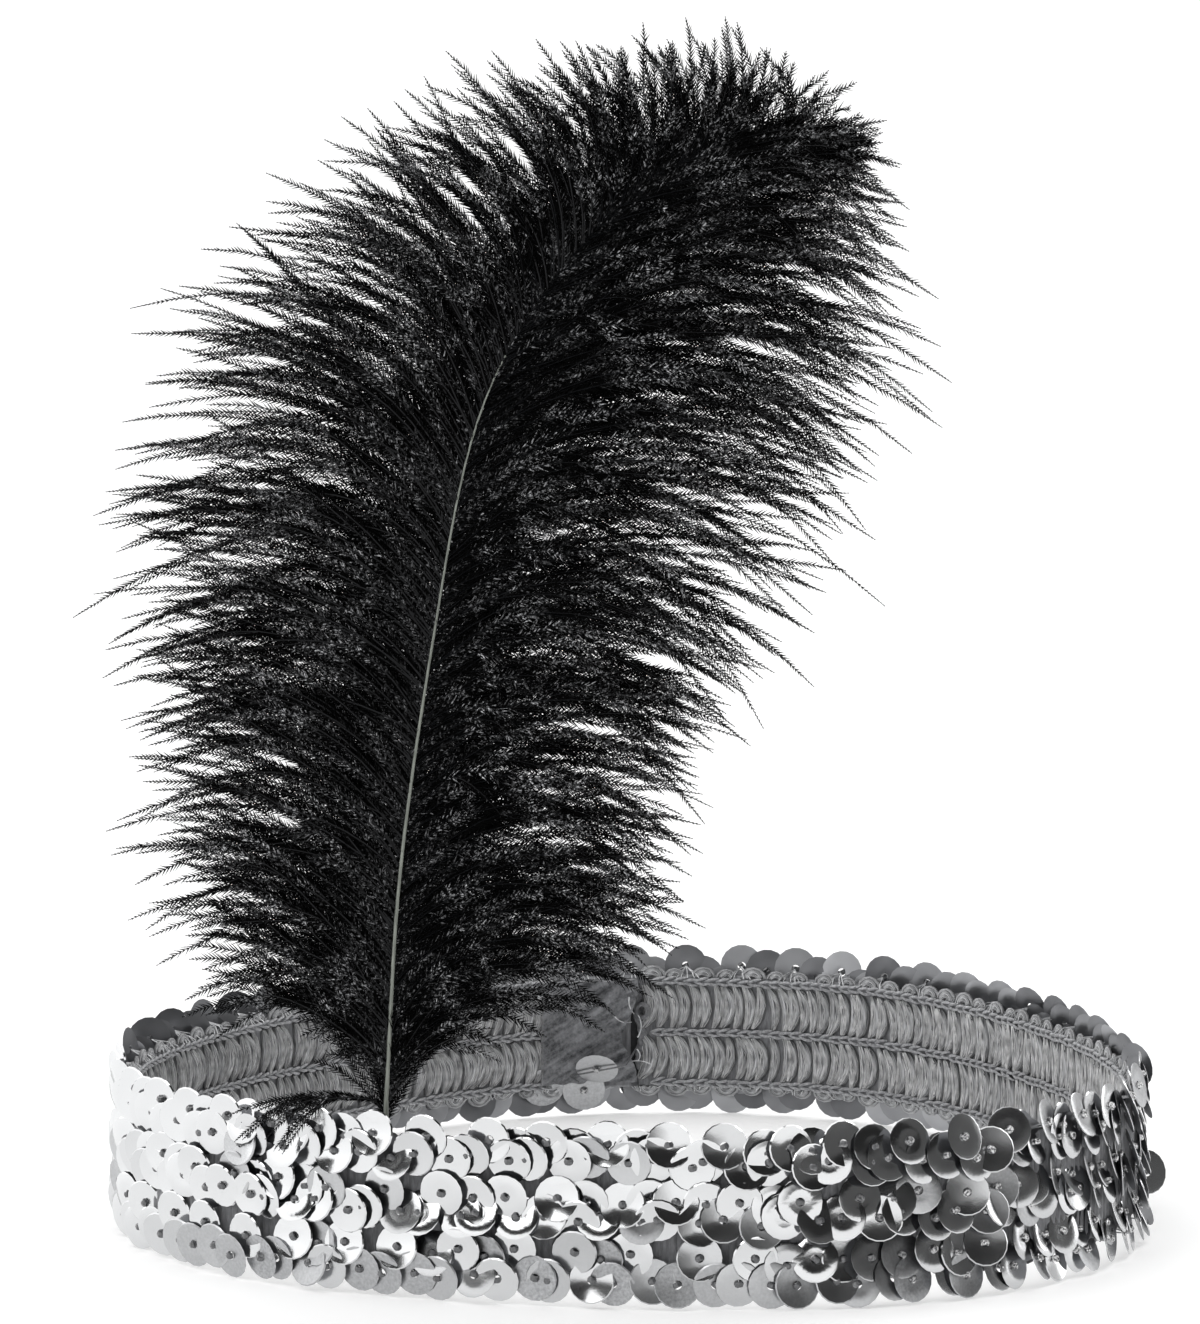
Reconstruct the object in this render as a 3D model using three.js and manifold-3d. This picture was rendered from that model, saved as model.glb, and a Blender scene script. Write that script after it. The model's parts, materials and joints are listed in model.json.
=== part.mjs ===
// A stretch headband of sequins sewn on knitted elastic, with an ostrich plume standing inside its front.
// Millimetres, +Z up. The band rests on its lower row of sequins, centred on the origin, front towards -Y.
import * as THREE from "three";
import Module from "manifold-3d";

const wasm = await Module();
wasm.setup();

// Driving dimensions
const loopRadius = 71.1; // mean radius to the outside of the sequins
const loopSwell = 4.2; // how far the three soft corners of the loop stand out, and its flats go in
const swellHeading = -40.5; // degrees, where one of the three soft corners points
const seamHeading = 91; // degrees, where the ends of the elastic meet
const bandHeight = 25; // from the lower edge of the sequins to the upper one
const clearance = 0.4; // between pieces that lie against each other

const sequinDiameter = 6;
const sequinThickness = 0.8; // a sequin with the one that overlaps it
const sequinPitch = 8.1; // from one outer sequin to the next along the band
const sequinTurn = 12; // degrees, how far a sequin turns out of the band's face
const sequinSides = 10;
const overlapTurn = 0.49; // share of the way round, from the seam by the left, where the overlap turns
const scallopDepth = 3.8; // how deep the notches between the outer sequins are
const wallThickness = 1.2; // the field of strung sequins behind the outer rows

const elasticHeight = 16.6;
const elasticThickness = 1.2; // at the valleys between rows of stitches
const chainRelief = 0.4; // how far a row of chain stitches stands out
const puffRelief = 0.3; // how far the gathered yarn puffs out between two rows
const chainSpacing = 7.5; // between the three rows of chain stitches
const chainWidth = 1.8;
const seamGap = 1; // between the two ends of the elastic

const tabLength = 15.5; // the lapped end that is sewn over the seam
const tabHeight = 14;
const tabThickness = 1;

const patchLength = 22; // the patch that holds the quill to the elastic
const patchHeight = 13;
const patchThickness = 1.2;
const patchBlend = 3; // length over which the patch rises from the elastic to the quill

const plumeLength = 151; // along the shaft, from the top of the band to its tip
const plumePlace = 0.4105; // share of the way round the band, from the seam by the left
const plumeLean = 4.9; // degrees backwards
const quillDiameter = 2.2;
const tipDiameter = 1.1;
const locksPerSide = 15;
const lockWidth = 11; // the widest lock
const lockThickness = 2.4;
const lockTipWidth = 1;
const lockDroop = 7; // how far the lock tips curl forwards

// The shaft's curve: shares of the plume's length, across to the right and up, in the plume's own plane
const shaftCurve = [
  { across: 0, up: 0 },
  { across: 0.012, up: 0.197 },
  { across: 0.04, up: 0.397 },
  { across: 0.075, up: 0.579 },
  { across: 0.125, up: 0.688 },
  { across: 0.201, up: 0.781 },
  { across: 0.289, up: 0.836 },
  { across: 0.358, up: 0.828 },
];

// How far the locks reach from the shaft, at shares of the way along it, as shares of the plume's length
const reachTable = [
  { along: 0.04, leftOut: 0.19, leftUp: 0.08, rightOut: 0.15, rightUp: 0.06 },
  { along: 0.2, leftOut: 0.237, leftUp: 0.11, rightOut: 0.25, rightUp: 0.04 },
  { along: 0.4, leftOut: 0.273, leftUp: 0.1, rightOut: 0.29, rightUp: 0 },
  { along: 0.5, leftOut: 0.265, leftUp: 0.147, rightOut: 0.334, rightUp: -0.008 },
  { along: 0.6, leftOut: 0.2, leftUp: 0.21, rightOut: 0.38, rightUp: 0.005 },
  { along: 0.7, leftOut: 0.15, leftUp: 0.195, rightOut: 0.335, rightUp: -0.015 },
  { along: 0.8, leftOut: 0.07, leftUp: 0.15, rightOut: 0.251, rightUp: -0.012 },
  { along: 0.9, leftOut: -0.02, leftUp: 0.105, rightOut: 0.16, rightUp: -0.023 },
  { along: 1, leftOut: -0.043, leftUp: 0.035, rightOut: 0.06, rightUp: -0.003 },
];
const archLeft = 0.22; // how high a lock arches above its chord, as a share of its reach
const archRight = 0.42;

// Worked out from the driving dimensions
const sequinRadius = sequinDiameter / 2;
const turn = THREE.MathUtils.degToRad(sequinTurn);
const sequinReach = (sequinRadius * Math.sin(turn)) / Math.cos(Math.PI / sequinSides)
  + (sequinThickness / 2) * Math.cos(turn);
const elasticInset = 2 * sequinReach + clearance;
const liningInset = elasticInset + elasticThickness + Math.max(chainRelief, puffRelief) + clearance;
const quillRadius = quillDiameter / 2;
const quillInset = liningInset + quillRadius;
const middle = bandHeight / 2;

// The loop seen from above: a round form with three soft corners, and the length along it
const loopSamples = 1440;
const loop = [];
for (let i = 0; i <= loopSamples; i++) {
  const heading = THREE.MathUtils.degToRad(seamHeading + (360 * i) / loopSamples);
  const wave = 3 * (heading - THREE.MathUtils.degToRad(swellHeading));
  const radius = loopRadius + loopSwell * Math.cos(wave);
  const slope = -3 * loopSwell * Math.sin(wave);
  const along = new THREE.Vector2(
    slope * Math.cos(heading) - radius * Math.sin(heading),
    slope * Math.sin(heading) + radius * Math.cos(heading),
  ).normalize();
  const point = new THREE.Vector2(radius * Math.cos(heading), radius * Math.sin(heading));
  const length = i === 0 ? 0 : loop[i - 1].length + point.distanceTo(loop[i - 1].point);
  loop.push({ point, inward: new THREE.Vector2(-along.y, along.x), along, length });
}
const loopLength = loop[loopSamples].length;
const loopBox = new THREE.Box2().setFromPoints(loop.map((sample) => sample.point));
const loopCentre = loopBox.getCenter(new THREE.Vector2());

// The frame of the band at a length along it from the seam, and a point at a depth behind its face
function bandFrame(length) {
  const wanted = THREE.MathUtils.euclideanModulo(length, loopLength);
  let low = 0;
  let high = loopSamples;
  while (high - low > 1) {
    const half = (low + high) >> 1;
    if (loop[half].length <= wanted) low = half;
    else high = half;
  }
  const share = (wanted - loop[low].length) / (loop[high].length - loop[low].length);
  const point = loop[low].point.clone().lerp(loop[high].point, share).sub(loopCentre);
  const inward = loop[low].inward.clone().lerp(loop[high].inward, share).normalize();
  const along = new THREE.Vector2(inward.y, -inward.x);
  return { point, inward, along };
}

function bandPoint(length, inset, height) {
  const { point, inward } = bandFrame(length);
  return new THREE.Vector3(point.x + inset * inward.x, point.y + inset * inward.y, height);
}

// A closed skin through rings of points. An open run gets caps, cut from the ring's flat outline
function skin(rings, outline = null) {
  const size = rings[0].length;
  const positions = rings.flat().flatMap((point) => [point.x, point.y, point.z]);
  const indices = [];
  const spans = outline ? rings.length - 1 : rings.length;
  for (let r = 0; r < spans; r++) {
    for (let k = 0; k < size; k++) {
      const a = r * size + k;
      const b = r * size + ((k + 1) % size);
      const c = ((r + 1) % rings.length) * size + ((k + 1) % size);
      const d = ((r + 1) % rings.length) * size + k;
      indices.push(a, b, c, a, c, d);
    }
  }
  if (outline) {
    const start = (rings.length - 1) * size;
    const turned = THREE.ShapeUtils.isClockWise(outline) ? 1 : -1;
    for (const [a, b, c] of THREE.ShapeUtils.triangulateShape(outline, [])) {
      const [p, q] = turned > 0 ? [b, c] : [c, b];
      indices.push(a, p, q, start + a, start + q, start + p);
    }
  }
  const geometry = new THREE.BufferGeometry();
  geometry.setAttribute("position", new THREE.Float32BufferAttribute(positions, 3));
  geometry.setIndex(indices);
  return outward(geometry);
}

// Turns every face round where the enclosed volume comes out negative
function outward(geometry) {
  const position = geometry.getAttribute("position");
  const index = geometry.getIndex();
  const corners = [new THREE.Vector3(), new THREE.Vector3(), new THREE.Vector3()];
  let volume = 0;
  for (let i = 0; i < index.count; i += 3) {
    corners.forEach((corner, k) => corner.fromBufferAttribute(position, index.getX(i + k)));
    volume += corners[0].dot(corners[1].clone().cross(corners[2]));
  }
  if (volume < 0) {
    for (let i = 0; i < index.count; i += 3) {
      const kept = index.getX(i + 1);
      index.setX(i + 1, index.getX(i + 2));
      index.setX(i + 2, kept);
    }
  }
  return geometry;
}

// Joins overlapping skins into one closed body
function fuse(skins) {
  const solids = skins.map((geometry) => new wasm.Manifold(new wasm.Mesh({
    numProp: 3,
    vertProperties: new Float32Array(geometry.getAttribute("position").array),
    triVerts: new Uint32Array(geometry.getIndex().array),
  })));
  const joined = wasm.Manifold.union(solids).getMesh();
  const geometry = new THREE.BufferGeometry();
  geometry.setAttribute("position", new THREE.Float32BufferAttribute(joined.vertProperties, 3));
  geometry.setIndex(Array.from(joined.triVerts));
  return geometry;
}

// A strip that follows the band: its flat outline is given in depth and height
function bandStrip(from, to, steps, outlineAt) {
  const rings = [];
  for (let i = 0; i <= steps; i++) {
    const length = from + ((to - from) * i) / steps;
    rings.push(outlineAt(length).map((corner) => bandPoint(length, corner.x, corner.y)));
  }
  return rings;
}

// The sequin field: a thin wall with a row of round sequins along each edge
function sequinDisc(length, height) {
  const side = length < overlapTurn * loopLength ? -1 : 1;
  const across = bandFrame(length).along.rotateAround(new THREE.Vector2(), side * turn);
  const facing = new THREE.Vector2(-across.y, across.x);
  const centre = bandPoint(length, sequinReach, height);
  const corner = sequinRadius / Math.cos(Math.PI / sequinSides);
  const rings = [-1, 1].map((end) => {
    const ring = [];
    for (let k = 0; k < sequinSides; k++) {
      const angle = (2 * Math.PI * (k + 0.5)) / sequinSides;
      const reach = corner * Math.sin(angle);
      const depth = (end * sequinThickness) / 2;
      ring.push(new THREE.Vector3(
        centre.x + across.x * reach + facing.x * depth,
        centre.y + across.y * reach + facing.y * depth,
        height + corner * Math.cos(angle),
      ));
    }
    return ring;
  });
  const outline = rings[0].map((point, k) => {
    const angle = (2 * Math.PI * (k + 0.5)) / sequinSides;
    return new THREE.Vector2(Math.sin(angle), Math.cos(angle));
  });
  return skin(rings, outline);
}

function sequinFace() {
  const count = Math.round(loopLength / sequinPitch);
  const pitch = loopLength / count;
  const wallLow = scallopDepth;
  const wallHigh = bandHeight - scallopDepth;
  const far = 2 * sequinReach;
  const near = far - wallThickness;
  const section = [
    new THREE.Vector2(near, wallLow),
    new THREE.Vector2(far, wallLow),
    new THREE.Vector2(far, wallHigh),
    new THREE.Vector2(near, wallHigh),
  ];
  const wallRings = bandStrip(0, loopLength, count, () => section).slice(0, -1);
  const skins = [skin(wallRings)];
  for (let i = 0; i < count; i++) {
    skins.push(sequinDisc((i + 0.5) * pitch, sequinRadius));
    skins.push(sequinDisc(i * pitch, bandHeight - sequinRadius));
  }
  return fuse(skins);
}

// The knitted elastic: flat outside, with three rows of chain stitches and two puffed channels inside
function elasticSection() {
  const low = middle - elasticHeight / 2;
  const high = middle + elasticHeight / 2;
  const valley = elasticInset + elasticThickness;
  const section = [new THREE.Vector2(elasticInset, high), new THREE.Vector2(elasticInset, low)];
  section.push(new THREE.Vector2(valley, low));
  for (const row of [-1, 0, 1]) {
    const height = middle + row * chainSpacing;
    if (row > -1) {
      section.push(new THREE.Vector2(valley + puffRelief, height - chainSpacing / 2));
      section.push(new THREE.Vector2(valley, height - chainWidth / 2));
    }
    section.push(new THREE.Vector2(valley + chainRelief, height));
    if (row < 1) section.push(new THREE.Vector2(valley, height + chainWidth / 2));
  }
  section.push(new THREE.Vector2(valley, high));
  return section;
}

function elasticBacking() {
  const section = elasticSection();
  const steps = 60;
  const rings = bandStrip(seamGap / 2, loopLength - seamGap / 2, steps, () => section);
  return skin(rings, section);
}

// A sheet that lies along the inside of the elastic, with rounded upper and lower edges
function liningSheet(from, to, steps, sheetHeight, thickness, riseAt) {
  const round = thickness / 3;
  const low = middle - sheetHeight / 2;
  const high = middle + sheetHeight / 2;
  const outlineAt = (length) => {
    const near = liningInset + riseAt(length);
    return [
      new THREE.Vector2(near, low),
      new THREE.Vector2(near + thickness - round, low),
      new THREE.Vector2(near + thickness, low + round),
      new THREE.Vector2(near + thickness, high - round),
      new THREE.Vector2(near + thickness - round, high),
      new THREE.Vector2(near, high),
    ];
  };
  return skin(bandStrip(from, to, steps, outlineAt), outlineAt(from));
}

function seamTab() {
  return liningSheet(0, tabLength, 6, tabHeight, tabThickness, () => 0);
}

// The patch lies flat on the elastic, and rises over the quill
const quillLength = plumePlace * loopLength;

function quillPatch() {
  const rise = quillDiameter + clearance;
  const flat = quillRadius + clearance;
  const riseAt = (length) => {
    const away = Math.abs(length - quillLength) - flat;
    return rise * (1 - THREE.MathUtils.smoothstep(away, 0, patchBlend));
  };
  const from = quillLength - patchLength / 2;
  return liningSheet(from, from + patchLength, 28, patchHeight, patchThickness, riseAt);
}

// The plume's own plane: right is across, up leans back, and forward is towards the front
const foot = bandPoint(quillLength, quillInset, bandHeight);
const lean = THREE.MathUtils.degToRad(plumeLean);
const planeRight = new THREE.Vector3(1, 0, 0);
const planeUp = new THREE.Vector3(0, Math.sin(lean), Math.cos(lean));
const planeForward = new THREE.Vector3(0, -Math.cos(lean), Math.sin(lean));

function planePoint(across, up, forward) {
  return foot.clone()
    .addScaledVector(planeRight, across)
    .addScaledVector(planeUp, up)
    .addScaledVector(planeForward, forward);
}

const shaft = new THREE.CatmullRomCurve3(
  shaftCurve.map(({ across, up }) => planePoint(across * plumeLength, up * plumeLength, 0)),
  false,
  "centripetal",
);

// A run of rings along a path. Each ring is a flat outline, set across the path
function sweep(path, outlineOf) {
  return path.map((point, i) => {
    const before = path[Math.max(i - 1, 0)];
    const after = path[Math.min(i + 1, path.length - 1)];
    const tangent = after.clone().sub(before).normalize();
    const side = new THREE.Vector3().crossVectors(planeForward, tangent).normalize();
    const front = new THREE.Vector3().crossVectors(tangent, side);
    return outlineOf(i / (path.length - 1)).map((corner) => point.clone()
      .addScaledVector(side, corner.x)
      .addScaledVector(front, corner.y));
  });
}

function roundOutline(radius, sides) {
  return Array.from({ length: sides }, (_, k) => {
    const angle = (2 * Math.PI * k) / sides;
    return new THREE.Vector2(radius * Math.cos(angle), radius * Math.sin(angle));
  });
}

function quillSkin() {
  const stubTop = foot.clone();
  const stubFoot = foot.clone().setZ(middle - patchHeight / 2 + clearance);
  const path = [stubFoot, stubTop.clone().setZ(middle + patchHeight / 2 + clearance)];
  const steps = 16;
  for (let i = 0; i <= steps; i++) path.push(shaft.getPointAt(i / steps));
  const sides = 6;
  const radiusAt = (share) => THREE.MathUtils.lerp(quillRadius, tipDiameter / 2, share ** 1.5);
  return skin(sweep(path, (share) => roundOutline(radiusAt(share), sides)), roundOutline(1, sides));
}

function reachAt(along) {
  const last = reachTable.length - 1;
  let row = 0;
  while (row < last - 1 && reachTable[row + 1].along < along) row++;
  const [low, high] = [reachTable[row], reachTable[row + 1]];
  const share = THREE.MathUtils.clamp((along - low.along) / (high.along - low.along), 0, 1);
  const column = (name) => THREE.MathUtils.lerp(low[name], high[name], share) * plumeLength;
  return {
    left: { across: -column("leftOut"), up: column("leftUp") },
    right: { across: column("rightOut"), up: column("rightUp") },
  };
}

// One lock of barbs: it leaves the shaft upwards, arches over and ends in a narrow tip
function lockSkin(along, sideName, index) {
  const root = shaft.getPointAt(along);
  const tangent = shaft.getTangentAt(along);
  const reach = reachAt(along)[sideName];
  const chord = planeRight.clone().multiplyScalar(reach.across)
    .addScaledVector(planeUp, reach.up);
  const arch = sideName === "left" ? archLeft : archRight;
  const stagger = (index % 2 === 0 ? 1 : -1) * (lockThickness / 5);
  const knee = root.clone().addScaledVector(chord, 0.5)
    .addScaledVector(tangent, arch * chord.length())
    .addScaledVector(planeForward, stagger);
  const tip = root.clone().add(chord)
    .addScaledVector(planeForward, lockDroop * (index % 2 === 0 ? 1 : 0.4));
  const curve = new THREE.QuadraticBezierCurve3(root, knee, tip);
  const widest = lockWidth * THREE.MathUtils.clamp(chord.length() / (plumeLength * 0.2), 0.45, 1);
  const widthAt = (share) => THREE.MathUtils.lerp(
    lockTipWidth,
    widest,
    Math.sin(Math.PI * Math.min(1, 0.18 + 0.82 * share)) ** 0.8,
  );
  const thickAt = (share) => THREE.MathUtils.lerp(lockThickness, lockTipWidth, share);
  const outlineOf = (share) => [
    new THREE.Vector2(widthAt(share) / 2, 0),
    new THREE.Vector2(0, thickAt(share) / 2),
    new THREE.Vector2(-widthAt(share) / 2, 0),
    new THREE.Vector2(0, -thickAt(share) / 2),
  ];
  return skin(sweep(curve.getPoints(5), outlineOf), outlineOf(0.5));
}

function ostrichPlume() {
  const skins = [quillSkin()];
  const first = reachTable[0].along;
  for (let i = 0; i < locksPerSide; i++) {
    const along = first + ((1 - first) * i) / (locksPerSide - 1);
    skins.push(lockSkin(Math.min(along, 0.985), "left", i));
    skins.push(lockSkin(Math.min(along, 0.985), "right", i + 1));
  }
  return fuse(skins);
}

// Materials
const silver = new THREE.MeshStandardMaterial({ color: 0xd4d6d8, roughness: 0.18, metalness: 0.9 });
const greyKnit = new THREE.MeshStandardMaterial({ color: 0x77787a, roughness: 0.95, metalness: 0 });
const greyFelt = new THREE.MeshStandardMaterial({ color: 0x5e5f61, roughness: 1, metalness: 0 });
const blackFeather = new THREE.MeshStandardMaterial({ color: 0x121314, roughness: 0.7, metalness: 0 });

const headband = new THREE.Group();
headband.name = "flapper_headband";

function addPiece(name, geometry, material) {
  const mesh = new THREE.Mesh(geometry, material);
  mesh.name = name;
  headband.add(mesh);
}

addPiece("sequin_face", sequinFace(), silver);
addPiece("elastic_backing", elasticBacking(), greyKnit);
addPiece("seam_tab", seamTab(), greyKnit);
addPiece("quill_patch", quillPatch(), greyFelt);
addPiece("ostrich_plume", ostrichPlume(), blackFeather);

export default headband;
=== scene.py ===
# %% [markdown]
# # A sequinned stretch headband with an ostrich plume
#
# The headband is a loop of knitted elastic. Three strings of cup sequins are stitched along its
# outside, and a black ostrich feather stands inside its front. This lesson dresses the plain solids
# of the frame with sequins, yarn and barbs, one piece at a time.

# %% Load the frame
import json
import math

import bmesh
import bpy
import numpy as np
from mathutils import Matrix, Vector

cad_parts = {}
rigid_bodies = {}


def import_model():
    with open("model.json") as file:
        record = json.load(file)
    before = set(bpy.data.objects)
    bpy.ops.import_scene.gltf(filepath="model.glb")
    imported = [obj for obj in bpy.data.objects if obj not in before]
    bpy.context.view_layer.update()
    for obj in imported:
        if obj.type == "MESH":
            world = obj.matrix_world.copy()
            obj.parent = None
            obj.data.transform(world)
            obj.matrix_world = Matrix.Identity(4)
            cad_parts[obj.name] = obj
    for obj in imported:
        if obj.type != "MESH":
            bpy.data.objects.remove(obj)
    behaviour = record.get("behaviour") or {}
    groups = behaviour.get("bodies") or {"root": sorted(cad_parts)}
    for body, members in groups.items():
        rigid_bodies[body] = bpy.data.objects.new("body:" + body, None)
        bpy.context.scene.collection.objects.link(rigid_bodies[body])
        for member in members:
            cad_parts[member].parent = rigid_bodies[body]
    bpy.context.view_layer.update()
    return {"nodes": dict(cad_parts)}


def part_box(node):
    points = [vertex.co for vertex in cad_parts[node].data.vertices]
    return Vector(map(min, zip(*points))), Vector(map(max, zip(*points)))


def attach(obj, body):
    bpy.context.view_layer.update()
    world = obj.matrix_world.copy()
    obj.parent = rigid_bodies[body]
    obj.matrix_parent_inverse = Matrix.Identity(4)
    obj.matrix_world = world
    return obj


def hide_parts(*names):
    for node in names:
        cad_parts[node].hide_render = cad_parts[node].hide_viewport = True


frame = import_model()
print("nodes:", sorted(frame["nodes"]))

# %% [markdown]
# ## The band's plan
#
# Seen from above the loop isn't round: a stretch band that stands by itself settles into three soft
# corners. A radius that swells three times on the way round gives that form from three values. Every
# piece on the band takes its place from one table of that line, by its length from the seam.

# %% Sizes of the band
MM = 0.001
LOOP_RADIUS = 71.1 * MM
LOOP_SWELL = 4.2 * MM
SWELL_HEADING = math.radians(-40.5)
SEAM_HEADING = math.radians(91)
BAND_HEIGHT = float(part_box("sequin_face")[1][2])
MIDDLE = BAND_HEIGHT / 2
ROW_SPACING = 7.5 * MM
ROWS = [MIDDLE + row * ROW_SPACING for row in (-1, 0, 1)]
ELASTIC_LOW, ELASTIC_HIGH = (float(corner[2]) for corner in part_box("elastic_backing"))


def loop_table():
    headings = SEAM_HEADING + np.linspace(0, 2 * np.pi, 1441)
    waves = 3 * (headings - SWELL_HEADING)
    radii = LOOP_RADIUS + LOOP_SWELL * np.cos(waves)
    slopes = -3 * LOOP_SWELL * np.sin(waves)
    outward = np.stack([np.cos(headings), np.sin(headings)], axis=1)
    sideways = np.stack([-np.sin(headings), np.cos(headings)], axis=1)
    points = radii[:, None] * outward
    points = points - (points.max(axis=0) + points.min(axis=0)) / 2
    along = slopes[:, None] * outward + radii[:, None] * sideways
    along = along / np.linalg.norm(along, axis=1, keepdims=True)
    steps = np.linalg.norm(np.diff(points, axis=0), axis=1)
    return np.concatenate([[0], np.cumsum(steps)]), points, along


LENGTHS, LINE, ALONG = loop_table()
LOOP_LENGTH = float(LENGTHS[-1])


def band_frame(length):
    wanted = np.mod(length, LOOP_LENGTH)
    point = np.stack([np.interp(wanted, LENGTHS, LINE[:, k]) for k in (0, 1)], axis=-1)
    along = np.stack([np.interp(wanted, LENGTHS, ALONG[:, k]) for k in (0, 1)], axis=-1)
    along = along / np.linalg.norm(along, axis=-1, keepdims=True)
    inward = np.stack([-along[..., 1], along[..., 0]], axis=-1)
    return point, along, inward


def band_point(length, inset, height):
    point, _, inward = band_frame(length)
    flat = point + np.asarray(inset)[..., None] * inward
    height = np.broadcast_to(height, flat.shape[:-1])
    return np.concatenate([flat, height[..., None]], axis=-1)


def level(flat):
    return np.concatenate([flat, np.zeros(flat.shape[:-1] + (1,))], axis=-1)


print("loop length in mm:", round(LOOP_LENGTH / MM, 1))

# %% [markdown]
# ## Camera, floor and light
#
# The photograph looks down at the band by about eleven degrees, from more than a metre away, so the
# ellipse of the loop is narrow and its back isn't much smaller than its front. The studio is bright
# at the left and in front and darker at the right. Mirror-like sequins show that better than any
# lamp: they are white where they face the bright side and nearly black where they face the other.

# %% Camera
CAMERA_PLACE = Vector((-4.05, -1200.2, 237.9)) * MM
CAMERA_TARGET = Vector((-4.05, 1.5, 75.9)) * MM
camera_data = bpy.data.cameras.new("camera")
camera_data.sensor_width = 36
camera_data.lens = 239.3
camera_data.clip_start = 0.01
camera = bpy.data.objects.new("camera", camera_data)
camera.location = CAMERA_PLACE
camera.rotation_euler = (CAMERA_TARGET - CAMERA_PLACE).to_track_quat("-Z", "Y").to_euler()
bpy.context.collection.objects.link(camera)
bpy.context.scene.camera = camera
bpy.context.scene.view_settings.view_transform = "Standard"
print("camera distance in mm:", round((CAMERA_TARGET - CAMERA_PLACE).length / MM))


# %% Helpers for nodes and colours
def add_node(tree, kind, inputs=None, **settings):
    node = tree.nodes.new(kind)
    for name, value in settings.items():
        setattr(node, name, value)
    for socket, value in (inputs or {}).items():
        if isinstance(value, bpy.types.NodeSocket):
            tree.links.new(value, node.inputs[socket])
        else:
            node.inputs[socket].default_value = value
    return node


def srgb(code):
    parts = [int(code[i:i + 2], 16) / 255 for i in (1, 3, 5)]
    linear = [c / 12.92 if c <= 0.04045 else ((c + 0.055) / 1.055) ** 2.4 for c in parts]
    return (*linear, 1.0)


def calculate(tree, operation, *values):
    return add_node(tree, "ShaderNodeMath", dict(enumerate(values)), operation=operation).outputs[0]


def ramp(tree, value, low, high, to_low=0.0, to_high=1.0, kind="LINEAR"):
    """Carries a value from one range of numbers to another."""
    return add_node(tree, "ShaderNodeMapRange", {
        "Value": value, "From Min": low, "From Max": high, "To Min": to_low, "To Max": to_high,
    }, interpolation_type=kind).outputs["Result"]


def noise(tree, pitch, detail, roughness=0.5, vector=None):
    """Cloudy noise of one pitch in metres, on object coordinates unless a vector is given."""
    if vector is None:
        vector = add_node(tree, "ShaderNodeTexCoord").outputs["Object"]
    return add_node(tree, "ShaderNodeTexNoise", {
        "Vector": vector, "Scale": 1 / pitch, "Detail": detail, "Roughness": roughness,
    }).outputs["Fac"]


def mapped(tree, source, scale, **settings):
    """Coordinates of one kind, scaled along each axis."""
    place = add_node(tree, "ShaderNodeTexCoord").outputs[source]
    rotation = settings.pop("rotation", (0, 0, 0))
    return add_node(tree, "ShaderNodeMapping", {
        "Vector": place, "Rotation": rotation, "Scale": scale,
    }, **settings).outputs["Vector"]


def mix_colours(tree, factor, first, second, **settings):
    """Mixes two colours. Each is a code or comes from a socket."""
    first, second = (srgb(end) if isinstance(end, str) else end for end in (first, second))
    return add_node(tree, "ShaderNodeMix", {0: factor, 6: first, 7: second},
                    data_type="RGBA", **settings).outputs[2]


def mix_numbers(tree, factor, first, second):
    return add_node(tree, "ShaderNodeMix", {0: factor, 2: first, 3: second},
                    data_type="FLOAT").outputs[0]


def bumps(tree, height, strength, depth, **below):
    """Bumps of one depth in metres, on top of others where their normal is given."""
    return add_node(tree, "ShaderNodeBump", {
        "Height": height, "Strength": strength, "Distance": depth, **below,
    }).outputs["Normal"]


def attribute(tree, name):
    return add_node(tree, "ShaderNodeAttribute", attribute_name=name).outputs["Fac"]


def new_material(name, **sockets):
    material = bpy.data.materials.new(name)
    material.use_nodes = True
    shader = material.node_tree.nodes["Principled BSDF"]
    for socket, value in sockets.items():
        shader.inputs[socket.replace("_", " ").title().replace("Ior", "IOR")].default_value = value
    return material, material.node_tree, shader


# %% Floor
FLOOR_REACH = 12.0
floor_mesh = bpy.data.meshes.new("floor")
floor_mesh.from_pydata(
    [(x * FLOOR_REACH, y * FLOOR_REACH, 0) for x, y in ((-1, -1), (1, -1), (1, 1), (-1, 1))],
    [], [(0, 1, 2, 3)],
)
floor = bpy.data.objects.new("floor", floor_mesh)
bpy.context.collection.objects.link(floor)
# The floor is a sheet of translucent acrylic lit from below, which is why shadows on it are faint.
floor_material, _, _ = new_material(
    "lit acrylic floor", base_color=srgb("#d2d2d2"), roughness=0.9,
    emission_color=srgb("#ffffff"), emission_strength=0.4)
floor_mesh.materials.append(floor_material)

# %% World, darker towards the right
world = bpy.data.worlds.new("studio")
world.use_nodes = True
sky = world.node_tree
direction = add_node(sky, "ShaderNodeTexCoord").outputs["Generated"]
across, away, above = add_node(sky, "ShaderNodeSeparateXYZ", {"Vector": direction}).outputs
walls = ramp(sky, across, 0.1, 0.6, 1.2, 0.1, kind="SMOOTHSTEP")
# Behind the object the room is half lit again, and a bright strip there, like the side of a window,
# gives the right bend its slivers of light.
behind = ramp(sky, away, 0.1, 0.5, 0.0, 0.6, kind="SMOOTHSTEP")
window = calculate(sky, "COMPARE", away, 0.42, 0.07)
window_light = calculate(sky, "MULTIPLY_ADD", window, 3.2, behind)
sides = calculate(sky, "MAXIMUM", walls, window_light)
# The bright ceiling starts higher up on the dark side.
slope = calculate(sky, "MULTIPLY_ADD", across, -0.4, above)
ceiling = ramp(sky, slope, 0.3, 0.75, kind="SMOOTHSTEP")
glow = mix_numbers(sky, ceiling, sides, 1.5)
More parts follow.
